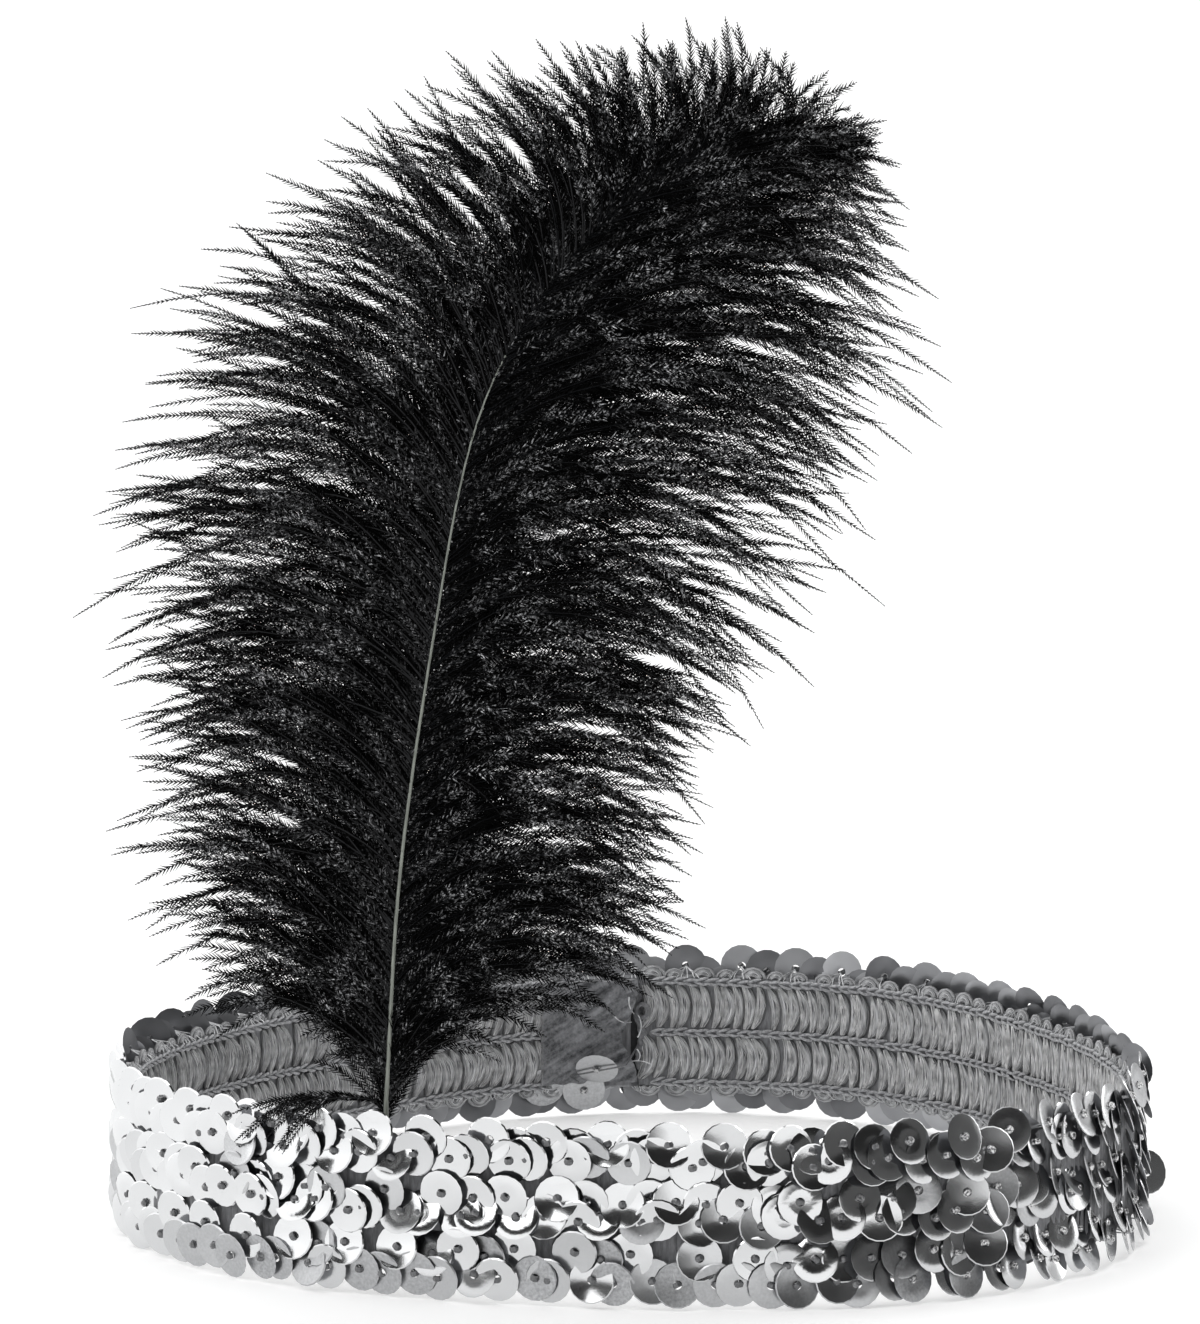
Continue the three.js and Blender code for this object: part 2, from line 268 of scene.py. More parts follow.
# A black board hangs over the camera. Sequins that have tipped up show it as a dark half.
board_height = calculate(sky, "COMPARE", above, 0.52, 0.2)
board_side = calculate(sky, "LESS_THAN", away, -0.3)
board = calculate(sky, "MULTIPLY", board_height, board_side)
shaded_glow = mix_numbers(sky, board, glow, 0.02)
background = sky.nodes["Background"]
background.inputs["Color"].default_value = (1.0, 1.0, 1.0, 1.0)
sky.links.new(shaded_glow, background.inputs["Strength"])
bpy.context.scene.world = world

# %% Lamps
LAMPS = [
    # name, place in metres, side in metres, watts
    ("key from the front left", (-0.75, -0.9, 1.1), 0.7, 3.6),
    ("edge from the back right", (0.9, 0.8, 0.9), 0.35, 2.5),
]
for name, place, side, watts in LAMPS:
    lamp_data = bpy.data.lights.new(name, "AREA")
    lamp_data.size = side
    lamp_data.energy = watts
    lamp = bpy.data.objects.new(name, lamp_data)
    lamp.location = place
    lamp.rotation_euler = (Vector((0, 0, 0.06)) - lamp.location).to_track_quat("-Z", "Y").to_euler()
    lamp.visible_camera = False
    bpy.context.collection.objects.link(lamp)
print("lamps:", len(LAMPS))

# %% [markdown]
# ## Shapes set on points
#
# Sequins, links of a chain stitch and bundles of yarn are each one small shape, repeated hundreds of
# times along the band. Geometry Nodes are made for that. A carrier mesh holds one vertex for each
# copy, and its attributes say which way the copy faces, which way is up for it, and its size. One
# tree turns any carrier into the finished mesh.


# %% The tree that sets shapes on points
def open_tree(name, **sockets):
    """An empty tree with its own named inputs, and the node that gives them out."""
    tree = bpy.data.node_groups.new(name, "GeometryNodeTree")
    for socket, kind in {"Geometry": "Geometry", **sockets}.items():
        tree.interface.new_socket(socket, in_out="INPUT", socket_type="NodeSocket" + kind)
    tree.interface.new_socket("Geometry", in_out="OUTPUT", socket_type="NodeSocketGeometry")
    return tree, add_node(tree, "NodeGroupInput")


def named(tree, name, kind="FLOAT_VECTOR"):
    return add_node(tree, "GeometryNodeInputNamedAttribute", {"Name": name},
                    data_type=kind).outputs["Attribute"]


def made_real(tree, geometry, material):
    """Turns copies into plain mesh and gives it one material."""
    real = add_node(tree, "GeometryNodeRealizeInstances", {"Geometry": geometry})
    return add_node(tree, "GeometryNodeSetMaterial", {
        "Geometry": real.outputs["Geometry"], "Material": material,
    }).outputs["Geometry"]


def build_scatter_tree():
    tree, given = open_tree("shapes on points", Shape="Object", Material="Material")
    turn = add_node(tree, "FunctionNodeAxesToRotation", {
        "Primary Axis": named(tree, "facing"), "Secondary Axis": named(tree, "rising"),
    }, primary_axis="Z", secondary_axis="Y")
    shape = add_node(tree, "GeometryNodeObjectInfo", {"Object": given.outputs["Shape"]})
    copies = add_node(tree, "GeometryNodeInstanceOnPoints", {
        "Points": given.outputs["Geometry"], "Instance": shape.outputs["Geometry"],
        "Rotation": turn.outputs["Rotation"], "Scale": named(tree, "size"),
    })
    add_node(tree, "NodeGroupOutput", {
        "Geometry": made_real(tree, copies.outputs["Instances"], given.outputs["Material"]),
    })
    return tree


def set_inputs(modifier, **values):
    for item in modifier.node_group.interface.items_tree:
        if item.item_type == "SOCKET" and item.in_out == "INPUT" and item.name in values:
            modifier[item.identifier] = values[item.name]


SCATTER = build_scatter_tree()


# %% The tree that makes strands
def tubes(tree, geometry, sides):
    """Curves along the edges of a mesh, and tubes on them as thick as its attribute says."""
    curve = add_node(tree, "GeometryNodeMeshToCurve", {"Mesh": geometry}).outputs["Curve"]
    ring = add_node(tree, "GeometryNodeCurvePrimitiveCircle", {"Resolution": sides, "Radius": 1.0})
    skin = add_node(tree, "GeometryNodeCurveToMesh", {
        "Curve": curve, "Profile Curve": ring.outputs["Curve"],
        "Scale": named(tree, "thickness", "FLOAT"), "Fill Caps": True,
    })
    return curve, skin.outputs["Mesh"]


def build_strand_tree():
    tree, given = open_tree("strands along paths", Sides="Int", Material="Material")
    _, skin = tubes(tree, given.outputs["Geometry"], given.outputs["Sides"])
    add_node(tree, "NodeGroupOutput", {"Geometry": made_real(tree, skin, given.outputs["Material"])})
    return tree


STRANDS = build_strand_tree()


# %% From a carrier to a plain piece
def new_object(name, mesh):
    thing = bpy.data.objects.new(name, mesh)
    bpy.context.collection.objects.link(thing)
    return thing


def drop(*things):
    for thing in things:
        data = thing.data
        bpy.data.objects.remove(thing)
        bpy.data.batch_remove([data])


def give_attributes(holder, values):
    for name, value in values.items():
        value = np.asarray(value, dtype=np.float32)
        kind, key = ("FLOAT_VECTOR", "vector") if value.ndim == 2 else ("FLOAT", "value")
        holder.attributes.new(name, kind, "POINT").data.foreach_set(key, value.ravel())


SHARP = math.radians(40)


def seat(name, mesh, slot, *stands_for):
    """Puts a finished mesh on the object's one body and hides the parts that it stands for."""
    mesh.shade_smooth()
    mesh.set_sharp_from_angle(angle=SHARP)
    piece = new_object(name, mesh)
    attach(piece, "root")
    for node in stands_for:
        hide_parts(node)
    print(name, "triangles:", sum(len(face.vertices) - 2 for face in mesh.polygons))
    return piece


def harvest(name, carrier, tree, slot, stands_for=(), **inputs):
    """Runs one tree on a carrier mesh and keeps the result as a plain piece."""
    maker = new_object(name + "_carrier", carrier)
    modifier = maker.modifiers.new(tree.name, "NODES")
    modifier.node_group = tree
    set_inputs(modifier, **inputs)
    graph = bpy.context.evaluated_depsgraph_get()
    mesh = bpy.data.meshes.new_from_object(
        maker.evaluated_get(graph), preserve_all_data_layers=True, depsgraph=graph)
    drop(maker)
    mesh.name = name
    return seat(name, mesh, slot, *stands_for)


FULL_SIZE = (1.0, 1.0, 1.0)


def scatter(name, shape, places, facing, rising, size, material, slot, stands_for=(), shade=0.5):
    """Copies of one shape on points, each with its own facing, upright and size."""
    carrier = bpy.data.meshes.new(name)
    carrier.from_pydata(places.tolist(), [], [])
    count = len(places)
    give_attributes(carrier, {
        "facing": facing, "rising": rising, "shade": np.broadcast_to(shade, count),
        "size": np.broadcast_to(size, (count, 3)),
    })
    piece = harvest(name, carrier, SCATTER, slot, stands_for, Shape=shape, Material=material)
    drop(shape)
    return piece


def path_mesh(name, paths, **attributes):
    """Edges along many paths of the same number of points."""
    count, size = paths.shape[:2]
    numbers = np.arange(count * size).reshape(count, size)
    edges = np.stack([numbers[:, :-1].ravel(), numbers[:, 1:].ravel()], axis=1)
    data = bpy.data.meshes.new(name)
    data.from_pydata(paths.reshape(-1, 3).tolist(), edges.tolist(), [])
    give_attributes(data, attributes)
    return data


def strands(name, paths, thickness, material, slot, sides=3):
    carrier = path_mesh(name, paths, thickness=np.broadcast_to(thickness, paths.shape[:2]).ravel())
    return harvest(name, carrier, STRANDS, slot, Sides=sides, Material=material)


# %% Small shapes from rings of points
def ring_mesh(name, rings, closed=False, caps=True, run=None, around=None):
    """A skin through rings of points. A closed run joins its last ring to its first.

    run and around, where given, are lengths in metres that lay the skin out flat."""
    rings = np.asarray(rings, dtype=float)
    count, size = rings.shape[:2]
    faces, flat = [], []
    for r in range(count if closed else count - 1):
        s = (r + 1) % count
        for k in range(size):
            m = (k + 1) % size
            faces.append((r * size + k, r * size + m, s * size + m, s * size + k))
            if run is not None:
                a, b = around[k], around[k + 1]
                flat += [(run[r], a), (run[r], b), (run[r + 1], b), (run[r + 1], a)]
    if caps and not closed:
        faces.append(tuple(range(size - 1, -1, -1)))
        faces.append(tuple((count - 1) * size + k for k in range(size)))
        flat += [(0.0, 0.0)] * (2 * size)
    mesh = bpy.data.meshes.new(name)
    mesh.from_pydata(rings.reshape(-1, 3).tolist(), [], faces)
    if run is not None:
        layout = mesh.uv_layers.new(name="flat layout")
        layout.data.foreach_set("uv", np.asarray(flat, dtype=np.float32).ravel())
    return face_out(mesh)


def face_out(mesh):
    """Turns every face of a closed skin outwards."""
    work = bmesh.new()
    work.from_mesh(mesh)
    bmesh.ops.recalc_face_normals(work, faces=work.faces)
    work.to_mesh(mesh)
    work.free()
    mesh.update()
    return mesh


def tube_rings(path, across, deep, sides):
    """Rings round a path in the plane of X and Y. across and deep are the half widths."""
    path = np.asarray(path, dtype=float)
    tangent = np.gradient(path, axis=0)
    tangent /= np.linalg.norm(tangent, axis=1, keepdims=True)
    sideways = np.cross(tangent, (0, 0, 1))
    sideways /= np.linalg.norm(sideways, axis=1, keepdims=True)
    front = np.cross(sideways, tangent)
    angles = 2 * np.pi * np.arange(sides) / sides
    across = np.broadcast_to(across, len(path))[:, None, None]
    deep = np.broadcast_to(deep, len(path))[:, None, None]
    return (path[:, None] + across * np.cos(angles)[None, :, None] * sideways[:, None]
            + deep * np.sin(angles)[None, :, None] * front[:, None])


def bend(start, knee, tip, t):
    """Points on a bend that leaves its start towards the knee and ends at the tip."""
    return (1 - t) ** 2 * start + 2 * t * (1 - t) * knee + t ** 2 * tip


def joined(name, *meshes):
    """One shape from several meshes, without their own copies left over."""
    work = bmesh.new()
    for mesh in meshes:
        work.from_mesh(mesh)
        bpy.data.meshes.remove(mesh)
    whole = bpy.data.meshes.new(name)
    work.to_mesh(whole)
    work.free()
    return new_object(name, whole)


# %% [markdown]
# ## The knitted elastic
#
# Under the sequins runs a strip of knitted elastic, cut to the length of the loop and closed at the
# back. Its outside is ribbed, and shows in the slits between the strings of sequins. The ribs are
# fine and even, so they are part of the strip's own rings: every rib has three of them.

# %% Knitted elastic
elastic_knit, tree, shader = new_material(
    "rib-knitted elastic yarn", roughness=0.85, sheen_weight=0.25)
# Textured polyester yarn is matt. Its loops are half a millimetre wide, and seen from arm's length
# they are only a grain of light and dark along each rib.
LOOP_GRAIN = (0.45 * MM, 1.8 * MM)
loop_scale = (1 / LOOP_GRAIN[0], 1 / LOOP_GRAIN[1], 1.0)
loops = noise(tree, 1.0, 3.0, 0.6, mapped(tree, "UV", loop_scale))
tree.links.new(mix_colours(tree, loops, "#3a3b3e", "#a3a4a7"), shader.inputs["Base Color"])
tree.links.new(bumps(tree, loops, 0.6, 0.15 * MM), shader.inputs["Normal"])

# %% The strip
STRIP_OUTER = 2.65 * MM
STRIP_INNER = 3.55 * MM
RIB_PITCH = 1.15 * MM
RIB_DEPTH = 0.25 * MM
CLEFT = 1.4 * MM
EDGE = 0.35 * MM


def elastic_strip():
    ribs = round((LOOP_LENGTH - CLEFT) / RIB_PITCH)
    lengths = np.linspace(CLEFT / 2, LOOP_LENGTH - CLEFT / 2, ribs * 3 + 1)
    wave = RIB_DEPTH * np.abs(np.sin(np.pi * np.arange(len(lengths)) / 3))
    low, high = ELASTIC_LOW, ELASTIC_HIGH
    section = [  # inset, height, share of the rib's wave
        (STRIP_OUTER + EDGE, low, 0.0), (STRIP_OUTER, low + EDGE, 1.0),
        (STRIP_OUTER, MIDDLE, 1.0), (STRIP_OUTER, high - EDGE, 1.0),
        (STRIP_OUTER + EDGE, high, 0.0), (STRIP_INNER, high - EDGE, 0.0),
        (STRIP_INNER, MIDDLE, 0.0), (STRIP_INNER, low + EDGE, 0.0),
    ]
    rings = np.stack([band_point(lengths, inset - share * wave, height)
                      for inset, height, share in section], axis=1)
    sides = np.diff([(a, b) for a, b, _ in section + section[:1]], axis=0)
    around = np.concatenate([[0], np.cumsum(np.hypot(sides[:, 0], sides[:, 1]))])
    return ring_mesh("elastic_strip", rings, run=lengths, around=around)


strip_mesh = elastic_strip()
strip_mesh.materials.append(elastic_knit)
strip = seat("elastic_strip", strip_mesh, "knitted_elastic", "elastic_backing")

# %% [markdown]
# ## Gathered yarn inside the loop
#
# Between the three rows of stitches the yarn lies in bundles, each as wide as a match and curved
# like a bracket, because the stitches pinch its ends and the stretch pushes its middle aside. One
# bundle is a lens-shaped skin. The points tree repeats it along both channels, and thin filaments
# that each take their own bend are laid over it as strands, so that no two bundles look the same.

# %% Yarn
BUNDLE_LENGTH = 6.5 * MM
BUNDLE_WIDTH = 2.05 * MM
BUNDLE_GIRTH = 2.2 * BUNDLE_WIDTH
yarn, tree, shader = new_material("loosely spun polyester yarn", roughness=0.75, sheen_weight=0.3)
# A bundle holds a few dozen filaments. They give it fine light and dark lines along its length.
FILAMENT_PITCH = 0.16 * MM
line_scale = (1 / (2.5 * MM), 1 / FILAMENT_PITCH, 1.0)
place = add_node(tree, "ShaderNodeTexCoord")
spread = add_node(tree, "ShaderNodeVectorMath", {
    0: mapped(tree, "UV", line_scale), 1: place.outputs["Object"],
}, operation="ADD")
lines = noise(tree, 1.0, 2.0, 0.55, spread.outputs["Vector"])
light = ramp(tree, lines, 0.32, 0.68)
tone = mix_colours(tree, light, "#3c3d40", "#dddee0")
shaded = mix_colours(tree, 0.35, tone, noise(tree, 4 * MM, 1.0), blend_type="OVERLAY")
# Painted shade: each bundle's colour is darkened towards its sides and towards its ends, where shade
# falls between bundles and where the stitches pinch it.
layout = add_node(tree, "ShaderNodeSeparateXYZ", {"Vector": place.outputs["UV"]})
painted_shade_fades = []
for axis, centre, dark in (("Y", BUNDLE_GIRTH / 4, 0.3), ("X", BUNDLE_LENGTH / 2, 0.45)):
    off_centre = calculate(tree, "SUBTRACT", layout.outputs[axis], centre)
    distance = calculate(tree, "ABSOLUTE", off_centre)
    painted_shade_fades.append(ramp(tree, distance, 0.45 * centre, centre, 1.0, dark, kind="SMOOTHSTEP"))
shade_painted_bundle = mix_colours(tree, 1.0, shaded, calculate(tree, "MULTIPLY", *painted_shade_fades), blend_type="MULTIPLY")
tree.links.new(shade_painted_bundle, shader.inputs["Base Color"])
tree.links.new(bumps(tree, lines, 0.7, 0.12 * MM), shader.inputs["Normal"])

# %% One bundle
BUNDLE_DEPTH = 0.7 * MM
BUNDLE_BOW = 1.05 * MM


def bundle_line(t):
    """Middle of a bundle and its half width and half depth, for t from -1 to 1."""
    middle = np.stack([BUNDLE_BOW * (0.6 - t ** 2), t * BUNDLE_LENGTH / 2, 0 * t], axis=-1)
    return (middle, BUNDLE_WIDTH / 2 * np.sqrt(1.02 - 0.88 * t ** 2),
            BUNDLE_DEPTH * np.sqrt(1.02 - 0.75 * t ** 2))


def yarn_bundle():
    middle, half, deep = bundle_line(np.linspace(-1, 1, 7))
    rings = tube_rings(middle, half, deep, 6)
    run = np.linspace(0, BUNDLE_LENGTH, 7)
    around = np.linspace(0, BUNDLE_GIRTH, 7)
    return new_object("yarn_bundle", ring_mesh("yarn_bundle", rings, run=run, around=around))


# %% Bundles along both channels
TAB_LENGTH = 15.5 * MM
BUNDLE_INSET = STRIP_INNER + 0.2 * MM
yarn_random = np.random.default_rng(5)
per_channel = round((LOOP_LENGTH - TAB_LENGTH) / (1.8 * MM))
bundle_lengths = np.concatenate([
    np.linspace(TAB_LENGTH + 0.5 * MM, LOOP_LENGTH - 1.9 * MM, per_channel)] * 2)
bundle_heights = MIDDLE + ROW_SPACING / 2 * np.repeat([-1, 1], per_channel)
bundle_lengths = bundle_lengths + yarn_random.normal(0, 0.26 * MM, len(bundle_lengths))
_, along, inward = band_frame(bundle_lengths)
lean = np.radians(yarn_random.normal(0, 5, len(bundle_lengths)))
yaw = np.radians(yarn_random.normal(0, 10, len(bundle_lengths)))
bundle_facing = level(np.cos(yaw)[:, None] * inward + np.sin(yaw)[:, None] * along)
bundle_rising = level(np.sin(lean)[:, None] * along)
bundle_rising[:, 2] = np.cos(lean)
bundle_size = np.stack([yarn_random.uniform(low, high, len(bundle_lengths))
                        for low, high in ((0.75, 1.3), (0.95, 1.04), (0.8, 1.3))], axis=1)
bundle_places = band_point(bundle_lengths, BUNDLE_INSET + 0 * bundle_lengths, bundle_heights)
scatter("yarn_bundles", yarn_bundle(), bundle_places, bundle_facing, bundle_rising, bundle_size,
        yarn, "knitted_elastic")

# %% Loose filaments on the bundles
FILAMENTS = 7


def filament_paths():
    t = np.linspace(-0.96, 0.96, 6)
    middle, half, deep = bundle_line(t)
    sideways = np.cross(bundle_rising, bundle_facing)
    paths = []
    for _ in range(FILAMENTS):
        offset = yarn_random.uniform(-0.85, 0.85, (len(bundle_lengths), 1))
        offset = np.clip(offset + yarn_random.normal(0, 0.12, (len(bundle_lengths), 6)), -0.95, 0.95)
        x = middle[:, 0] + offset * half
        z = deep * np.sqrt(1 - offset ** 2) + 0.03 * MM
        local = np.stack([x, np.broadcast_to(middle[:, 1], x.shape), z], axis=-1)
        local = local * bundle_size[:, None]
        paths.append(bundle_places[:, None] + local[..., :1] * sideways[:, None]
                     + local[..., 1:2] * bundle_rising[:, None]
                     + local[..., 2:] * bundle_facing[:, None])
    return np.concatenate(paths)


filament_yarn, tree, shader = new_material("drawn polyester filament", roughness=0.45)
# A single filament is smooth and half clear, so it catches more light than the bundle under it.
uneven = noise(tree, 1.2 * MM, 1.0)
tree.links.new(mix_colours(tree, uneven, "#26272a", "#ffffff"), shader.inputs["Base Color"])
strands("yarn_filaments", filament_paths(), 0.055 * MM, filament_yarn, "knitted_elastic")

# %% [markdown]
# ## Chain stitches
#
# Three rows of chain stitch hold the strings of sequins and divide the yarn into channels. A chain
# stitch is a run of small loops, each one pulled through the one before. From arm's length a loop
# is two short legs that open from one point, so one link is two bent tubes and the points tree
# sets the links one behind another.

# %% One link
LINK_PITCH = 1.72 * MM
CHAIN_HALF = 0.42 * MM


def chain_link():
    legs = []
    for side in (-1, 1):
        t = np.linspace(0, 1, 5)
        line = np.stack([
            (t * 1.25 - 0.1) * LINK_PITCH, side * CHAIN_HALF * np.sin(0.62 * np.pi * t) * 1.05,
            0.3 * MM * np.sin(np.pi * t),
        ], axis=1)
        thick = (0.08 + 0.14 * np.sin(np.pi * (0.1 + 0.8 * t))) * MM
        legs.append(ring_mesh("leg", tube_rings(line, thick, thick, 4)))
    return joined("chain_link", *legs)


links = round((LOOP_LENGTH - TAB_LENGTH) / LINK_PITCH)
chain_lengths = np.tile(np.linspace(TAB_LENGTH, LOOP_LENGTH - 2.6 * MM, links), 3)
chain_heights = np.repeat(ROWS, links)
chain_lengths = chain_lengths + yarn_random.normal(0, 0.06 * MM, len(chain_lengths))
_, along, inward = band_frame(chain_lengths)
lean = np.radians(yarn_random.normal(0, 4, len(chain_lengths)))
chain_rising = level(np.sin(lean)[:, None] * along)
chain_rising[:, 2] = np.cos(lean)
wander = 0.12 * MM * np.sin(chain_lengths / (9 * MM)) + yarn_random.normal(0, 0.04 * MM, len(lean))
chain_places = band_point(chain_lengths, STRIP_INNER + 0.42 * MM + 0 * lean, chain_heights + wander)
stitch_thread, tree, shader = new_material("twisted polyester sewing thread", roughness=0.55)
# The ply of the thread shows as slanting lines a third of a millimetre apart.
ply = noise(tree, 0.35 * MM, 2.0)
tree.links.new(mix_colours(tree, ply, "#1c1d20", "#d6d7da"), shader.inputs["Base Color"])
tree.links.new(bumps(tree, ply, 0.5, 0.08 * MM), shader.inputs["Normal"])
scatter("chain_stitches", chain_link(), chain_places, level(inward), chain_rising, FULL_SIZE,
        stitch_thread, "knitted_elastic")

# %% [markdown]
# ## Loops of yarn along both edges
#
# Past the outer rows of stitches the yarn turns back in small half-round loops, two for each repeat
# of the sequins. Each is a low dome with two arcs of yarn over it.

# %% One edge loop
PERIOD = LOOP_LENGTH / round(LOOP_LENGTH / (8.1 * MM))
LOOP_HALF = 1.7 * MM
LOOP_RISE = 1.35 * MM


def edge_loop():
    turns = np.linspace(0, np.pi, 7)
    parts = []
    for share, thick in ((0.5, 0.62), (0.95, 0.3)):
        line = np.stack([-LOOP_HALF * share * np.cos(turns), LOOP_RISE * share * np.sin(turns),
                         0 * turns], axis=1)
        parts.append(ring_mesh("arc", tube_rings(line, thick * MM * 0.9, thick * MM * 0.7, 5),
                               run=BUNDLE_LENGTH * np.linspace(0.1, 0.9, 7),
                               around=BUNDLE_GIRTH * np.linspace(0, 1, 6)))
    return joined("edge_loop", *parts)


count = round(LOOP_LENGTH / PERIOD * 2)
loop_lengths = np.tile(np.arange(count) * PERIOD / 2 + 0.2 * PERIOD, 2)
edge_side = np.repeat([1, -1], count)
keep = (loop_lengths > TAB_LENGTH - 3 * MM) & (loop_lengths < LOOP_LENGTH - 1 * MM)
loop_lengths, edge_side = loop_lengths[keep], edge_side[keep]
loop_lengths = loop_lengths + yarn_random.normal(0, 0.2 * MM, len(loop_lengths))
_, along, inward = band_frame(loop_lengths)
loop_rising = np.zeros((len(loop_lengths), 3))
loop_rising[:, 2] = edge_side
edge_height = MIDDLE + edge_side * (ROW_SPACING + 0.55 * MM)
edge_places = band_point(loop_lengths, STRIP_INNER - 0.1 * MM + 0 * loop_lengths, edge_height)
loop_size = yarn_random.uniform(0.75, 1.15, (len(loop_lengths), 1))
scatter("edge_loops", edge_loop(), edge_places, level(inward), loop_rising, loop_size, yarn,
        "knitted_elastic")

# %% [markdown]
# ## Cup sequins
#
# A cup sequin is punched from silver-coated film and pressed into a shallow cone round a small hole.
# The cone is what makes each disc split into a light and a dark part. Three strings of them run
# along the three rows of stitches. On each string one sequin sits high and the next two sit low, and
# at times a fourth fills the gap. So the upper edge of the band is scalloped, and narrow slits of
# elastic show between the strings.

# %% Silver film
sequin_silver, tree, shader = new_material("vacuum-silvered polyester film", metallic=1.0)
# Film has a faint orange peel, under half a millimetre across, which breaks reflections into grain.
GRAIN = 0.4 * MM
grain = noise(tree, GRAIN, 3.0, 0.6)
dents = noise(tree, 3.5 * MM, 1.0)
fine_bumps = bumps(tree, grain, 0.25, 0.02 * MM)
tree.links.new(bumps(tree, dents, 0.35, 0.25 * MM, Normal=fine_bumps), shader.inputs["Normal"])
# Some sequins have lost their polish. The same value also carries painted shade: it darkens the
# sequins from the front right on, where less light falls, and the lowest string at the front left.
# Each one carries its own value for that.
lost_polish_and_painted_shade = attribute(tree, "shade")
tone = mix_colours(tree, lost_polish_and_painted_shade, "#dcddde", "#707173")
speckle = calculate(tree, "MULTIPLY", lost_polish_and_painted_shade, grain)
mottled = mix_colours(tree, speckle, tone, "#d9dadc")
# The film's underside has no silver of its own and is a dull clouded grey.
side = attribute(tree, "underside")
cloud = mix_numbers(tree, 0.65, dents, lost_polish_and_painted_shade)
clouded = mix_colours(tree, cloud, "#5c5d60", "#c6c7ca")
tree.links.new(mix_colours(tree, side, mottled, clouded), shader.inputs["Base Color"])
matt = ramp(tree, calculate(tree, "MAXIMUM", lost_polish_and_painted_shade, side), 0.0, 1.0, 0.12, 0.42)
tree.links.new(matt, shader.inputs["Roughness"])

# %% One cup sequin
SEQUIN_RADIUS = 3.12 * MM
HOLE_RADIUS = 0.6 * MM
CUP_DEPTH = 0.16 * MM
FILM = 0.09 * MM
SEQUIN_SIDES = 18


def cup_sequin():
    # The section runs from the hole over the flat middle to the raised rim, and back underneath.
    # The punch turns the rim down a little, and that turned edge catches light from the side.
    section = [
        (HOLE_RADIUS, 0), (SEQUIN_RADIUS * 0.45, 0.1 * CUP_DEPTH),
        (SEQUIN_RADIUS - 0.16 * MM, CUP_DEPTH), (SEQUIN_RADIUS, CUP_DEPTH - 0.1 * MM),
        (SEQUIN_RADIUS * 0.45, 0.1 * CUP_DEPTH - FILM),
    ]
    rings = []
    for k in range(SEQUIN_SIDES):
        angle = 2 * math.pi * k / SEQUIN_SIDES
        rings.append([(r * math.cos(angle), r * math.sin(angle), z) for r, z in section])
    mesh = ring_mesh("cup_sequin", rings, closed=True)
    # The silver is only on the upper side of the film, so each face says which side it is on.
    under = [float(face.normal.z < 0) for face in mesh.polygons]
    mesh.attributes.new("underside", "FLOAT", "FACE").data.foreach_set("value", under)
    return new_object("cup_sequin", mesh)


# %% Where the sequins sit
OVERLAP_TURN = 0.49  # share of the way round where the overlap changes sides
STEPS = (0.0, 0.34, 0.67, 0.5)  # shares of a period: one high, two low, and at times a fourth
RISES = {
    0: (1.9 * MM, -1.3 * MM, -1.75 * MM, 1.2 * MM),
    1: (1.9 * MM, -0.9 * MM, -0.5 * MM, 1.5 * MM),
    2: (2.0 * MM, -0.9 * MM, -0.4 * MM, 1.0 * MM),
}
ROW_PHASE = (0.45, 0.2, 0.0)
SEQUIN_INSET = 1.0 * MM
RIGHT_BEND = (0.59, 0.8)  # shares of the way round between which the sequins splay out
LEFT_BEND = (0.14, 0.3)


def smooth_step(value, low, high):
    share = np.clip((value - low) / (high - low), 0, 1)
    return share * share * (3 - 2 * share)


def sequin_places():
    random = np.random.default_rng(11)
    lengths, heights, rows, steps = [], [], [], []
    for row in range(3):
        for cycle in range(round(LOOP_LENGTH / PERIOD)):
            for step, share in enumerate(STEPS):
                # The fourth fills a gap. The right bend has one in every period.
                bend = RIGHT_BEND[0] < cycle * PERIOD / LOOP_LENGTH < RIGHT_BEND[1]
                if step == 3 and not bend and random.uniform() > 0.5:
                    continue
                lengths.append((cycle + share + ROW_PHASE[row]) * PERIOD)
                heights.append(ROWS[row] + RISES[row][step])
                rows.append(row)
                steps.append(step)
    count = len(lengths)
    lengths = np.array(lengths) + random.normal(0, 0.35 * MM, count)
    heights = np.array(heights) + random.normal(0, 0.25 * MM, count)
    heights = np.clip(heights, SEQUIN_RADIUS, BAND_HEIGHT - SEQUIN_RADIUS)
    return np.mod(lengths, LOOP_LENGTH), heights, np.array(rows), np.array(steps), random


def sequin_turns(lengths, rows, random):
    """Angles of each sequin out of the band's face: round its upright, and upwards."""
    count = len(lengths)
    share = lengths / LOOP_LENGTH
    side = np.where(share < OVERLAP_TURN, 1.0, -1.0)
    splay = smooth_step(share, RIGHT_BEND[0], RIGHT_BEND[0] + 0.03)
    splay = splay * (1 - smooth_step(share, RIGHT_BEND[1] - 0.06, RIGHT_BEND[1]))
    spikes = smooth_step(share, LEFT_BEND[0], LEFT_BEND[0] + 0.03)
    spikes = spikes * (1 - smooth_step(share, LEFT_BEND[1] - 0.03, LEFT_BEND[1])) * (rows == 2)
    # At the front left the sequins turn their faces towards the front instead of off the band.
    left = smooth_step(share, 0.215, 0.25) * (1 - smooth_step(share, 0.32, 0.37))
    right = smooth_step(share, 0.515, 0.55) * (1 - smooth_step(share, 0.85, 0.95))
    yaw = 7.5 - 29 * left + 5 * right + splay + 24 * spikes * (1 - left)
    yaw = np.radians(yaw + random.normal(0, 2.4 + 6 * splay + 7 * spikes * (1 - left), count))
    pitch = np.radians(-9 + 24 * right + random.normal(0, 3 - 0.5 * right + 4 * splay, count))
    return side * yaw, pitch, left + 1.25 * splay


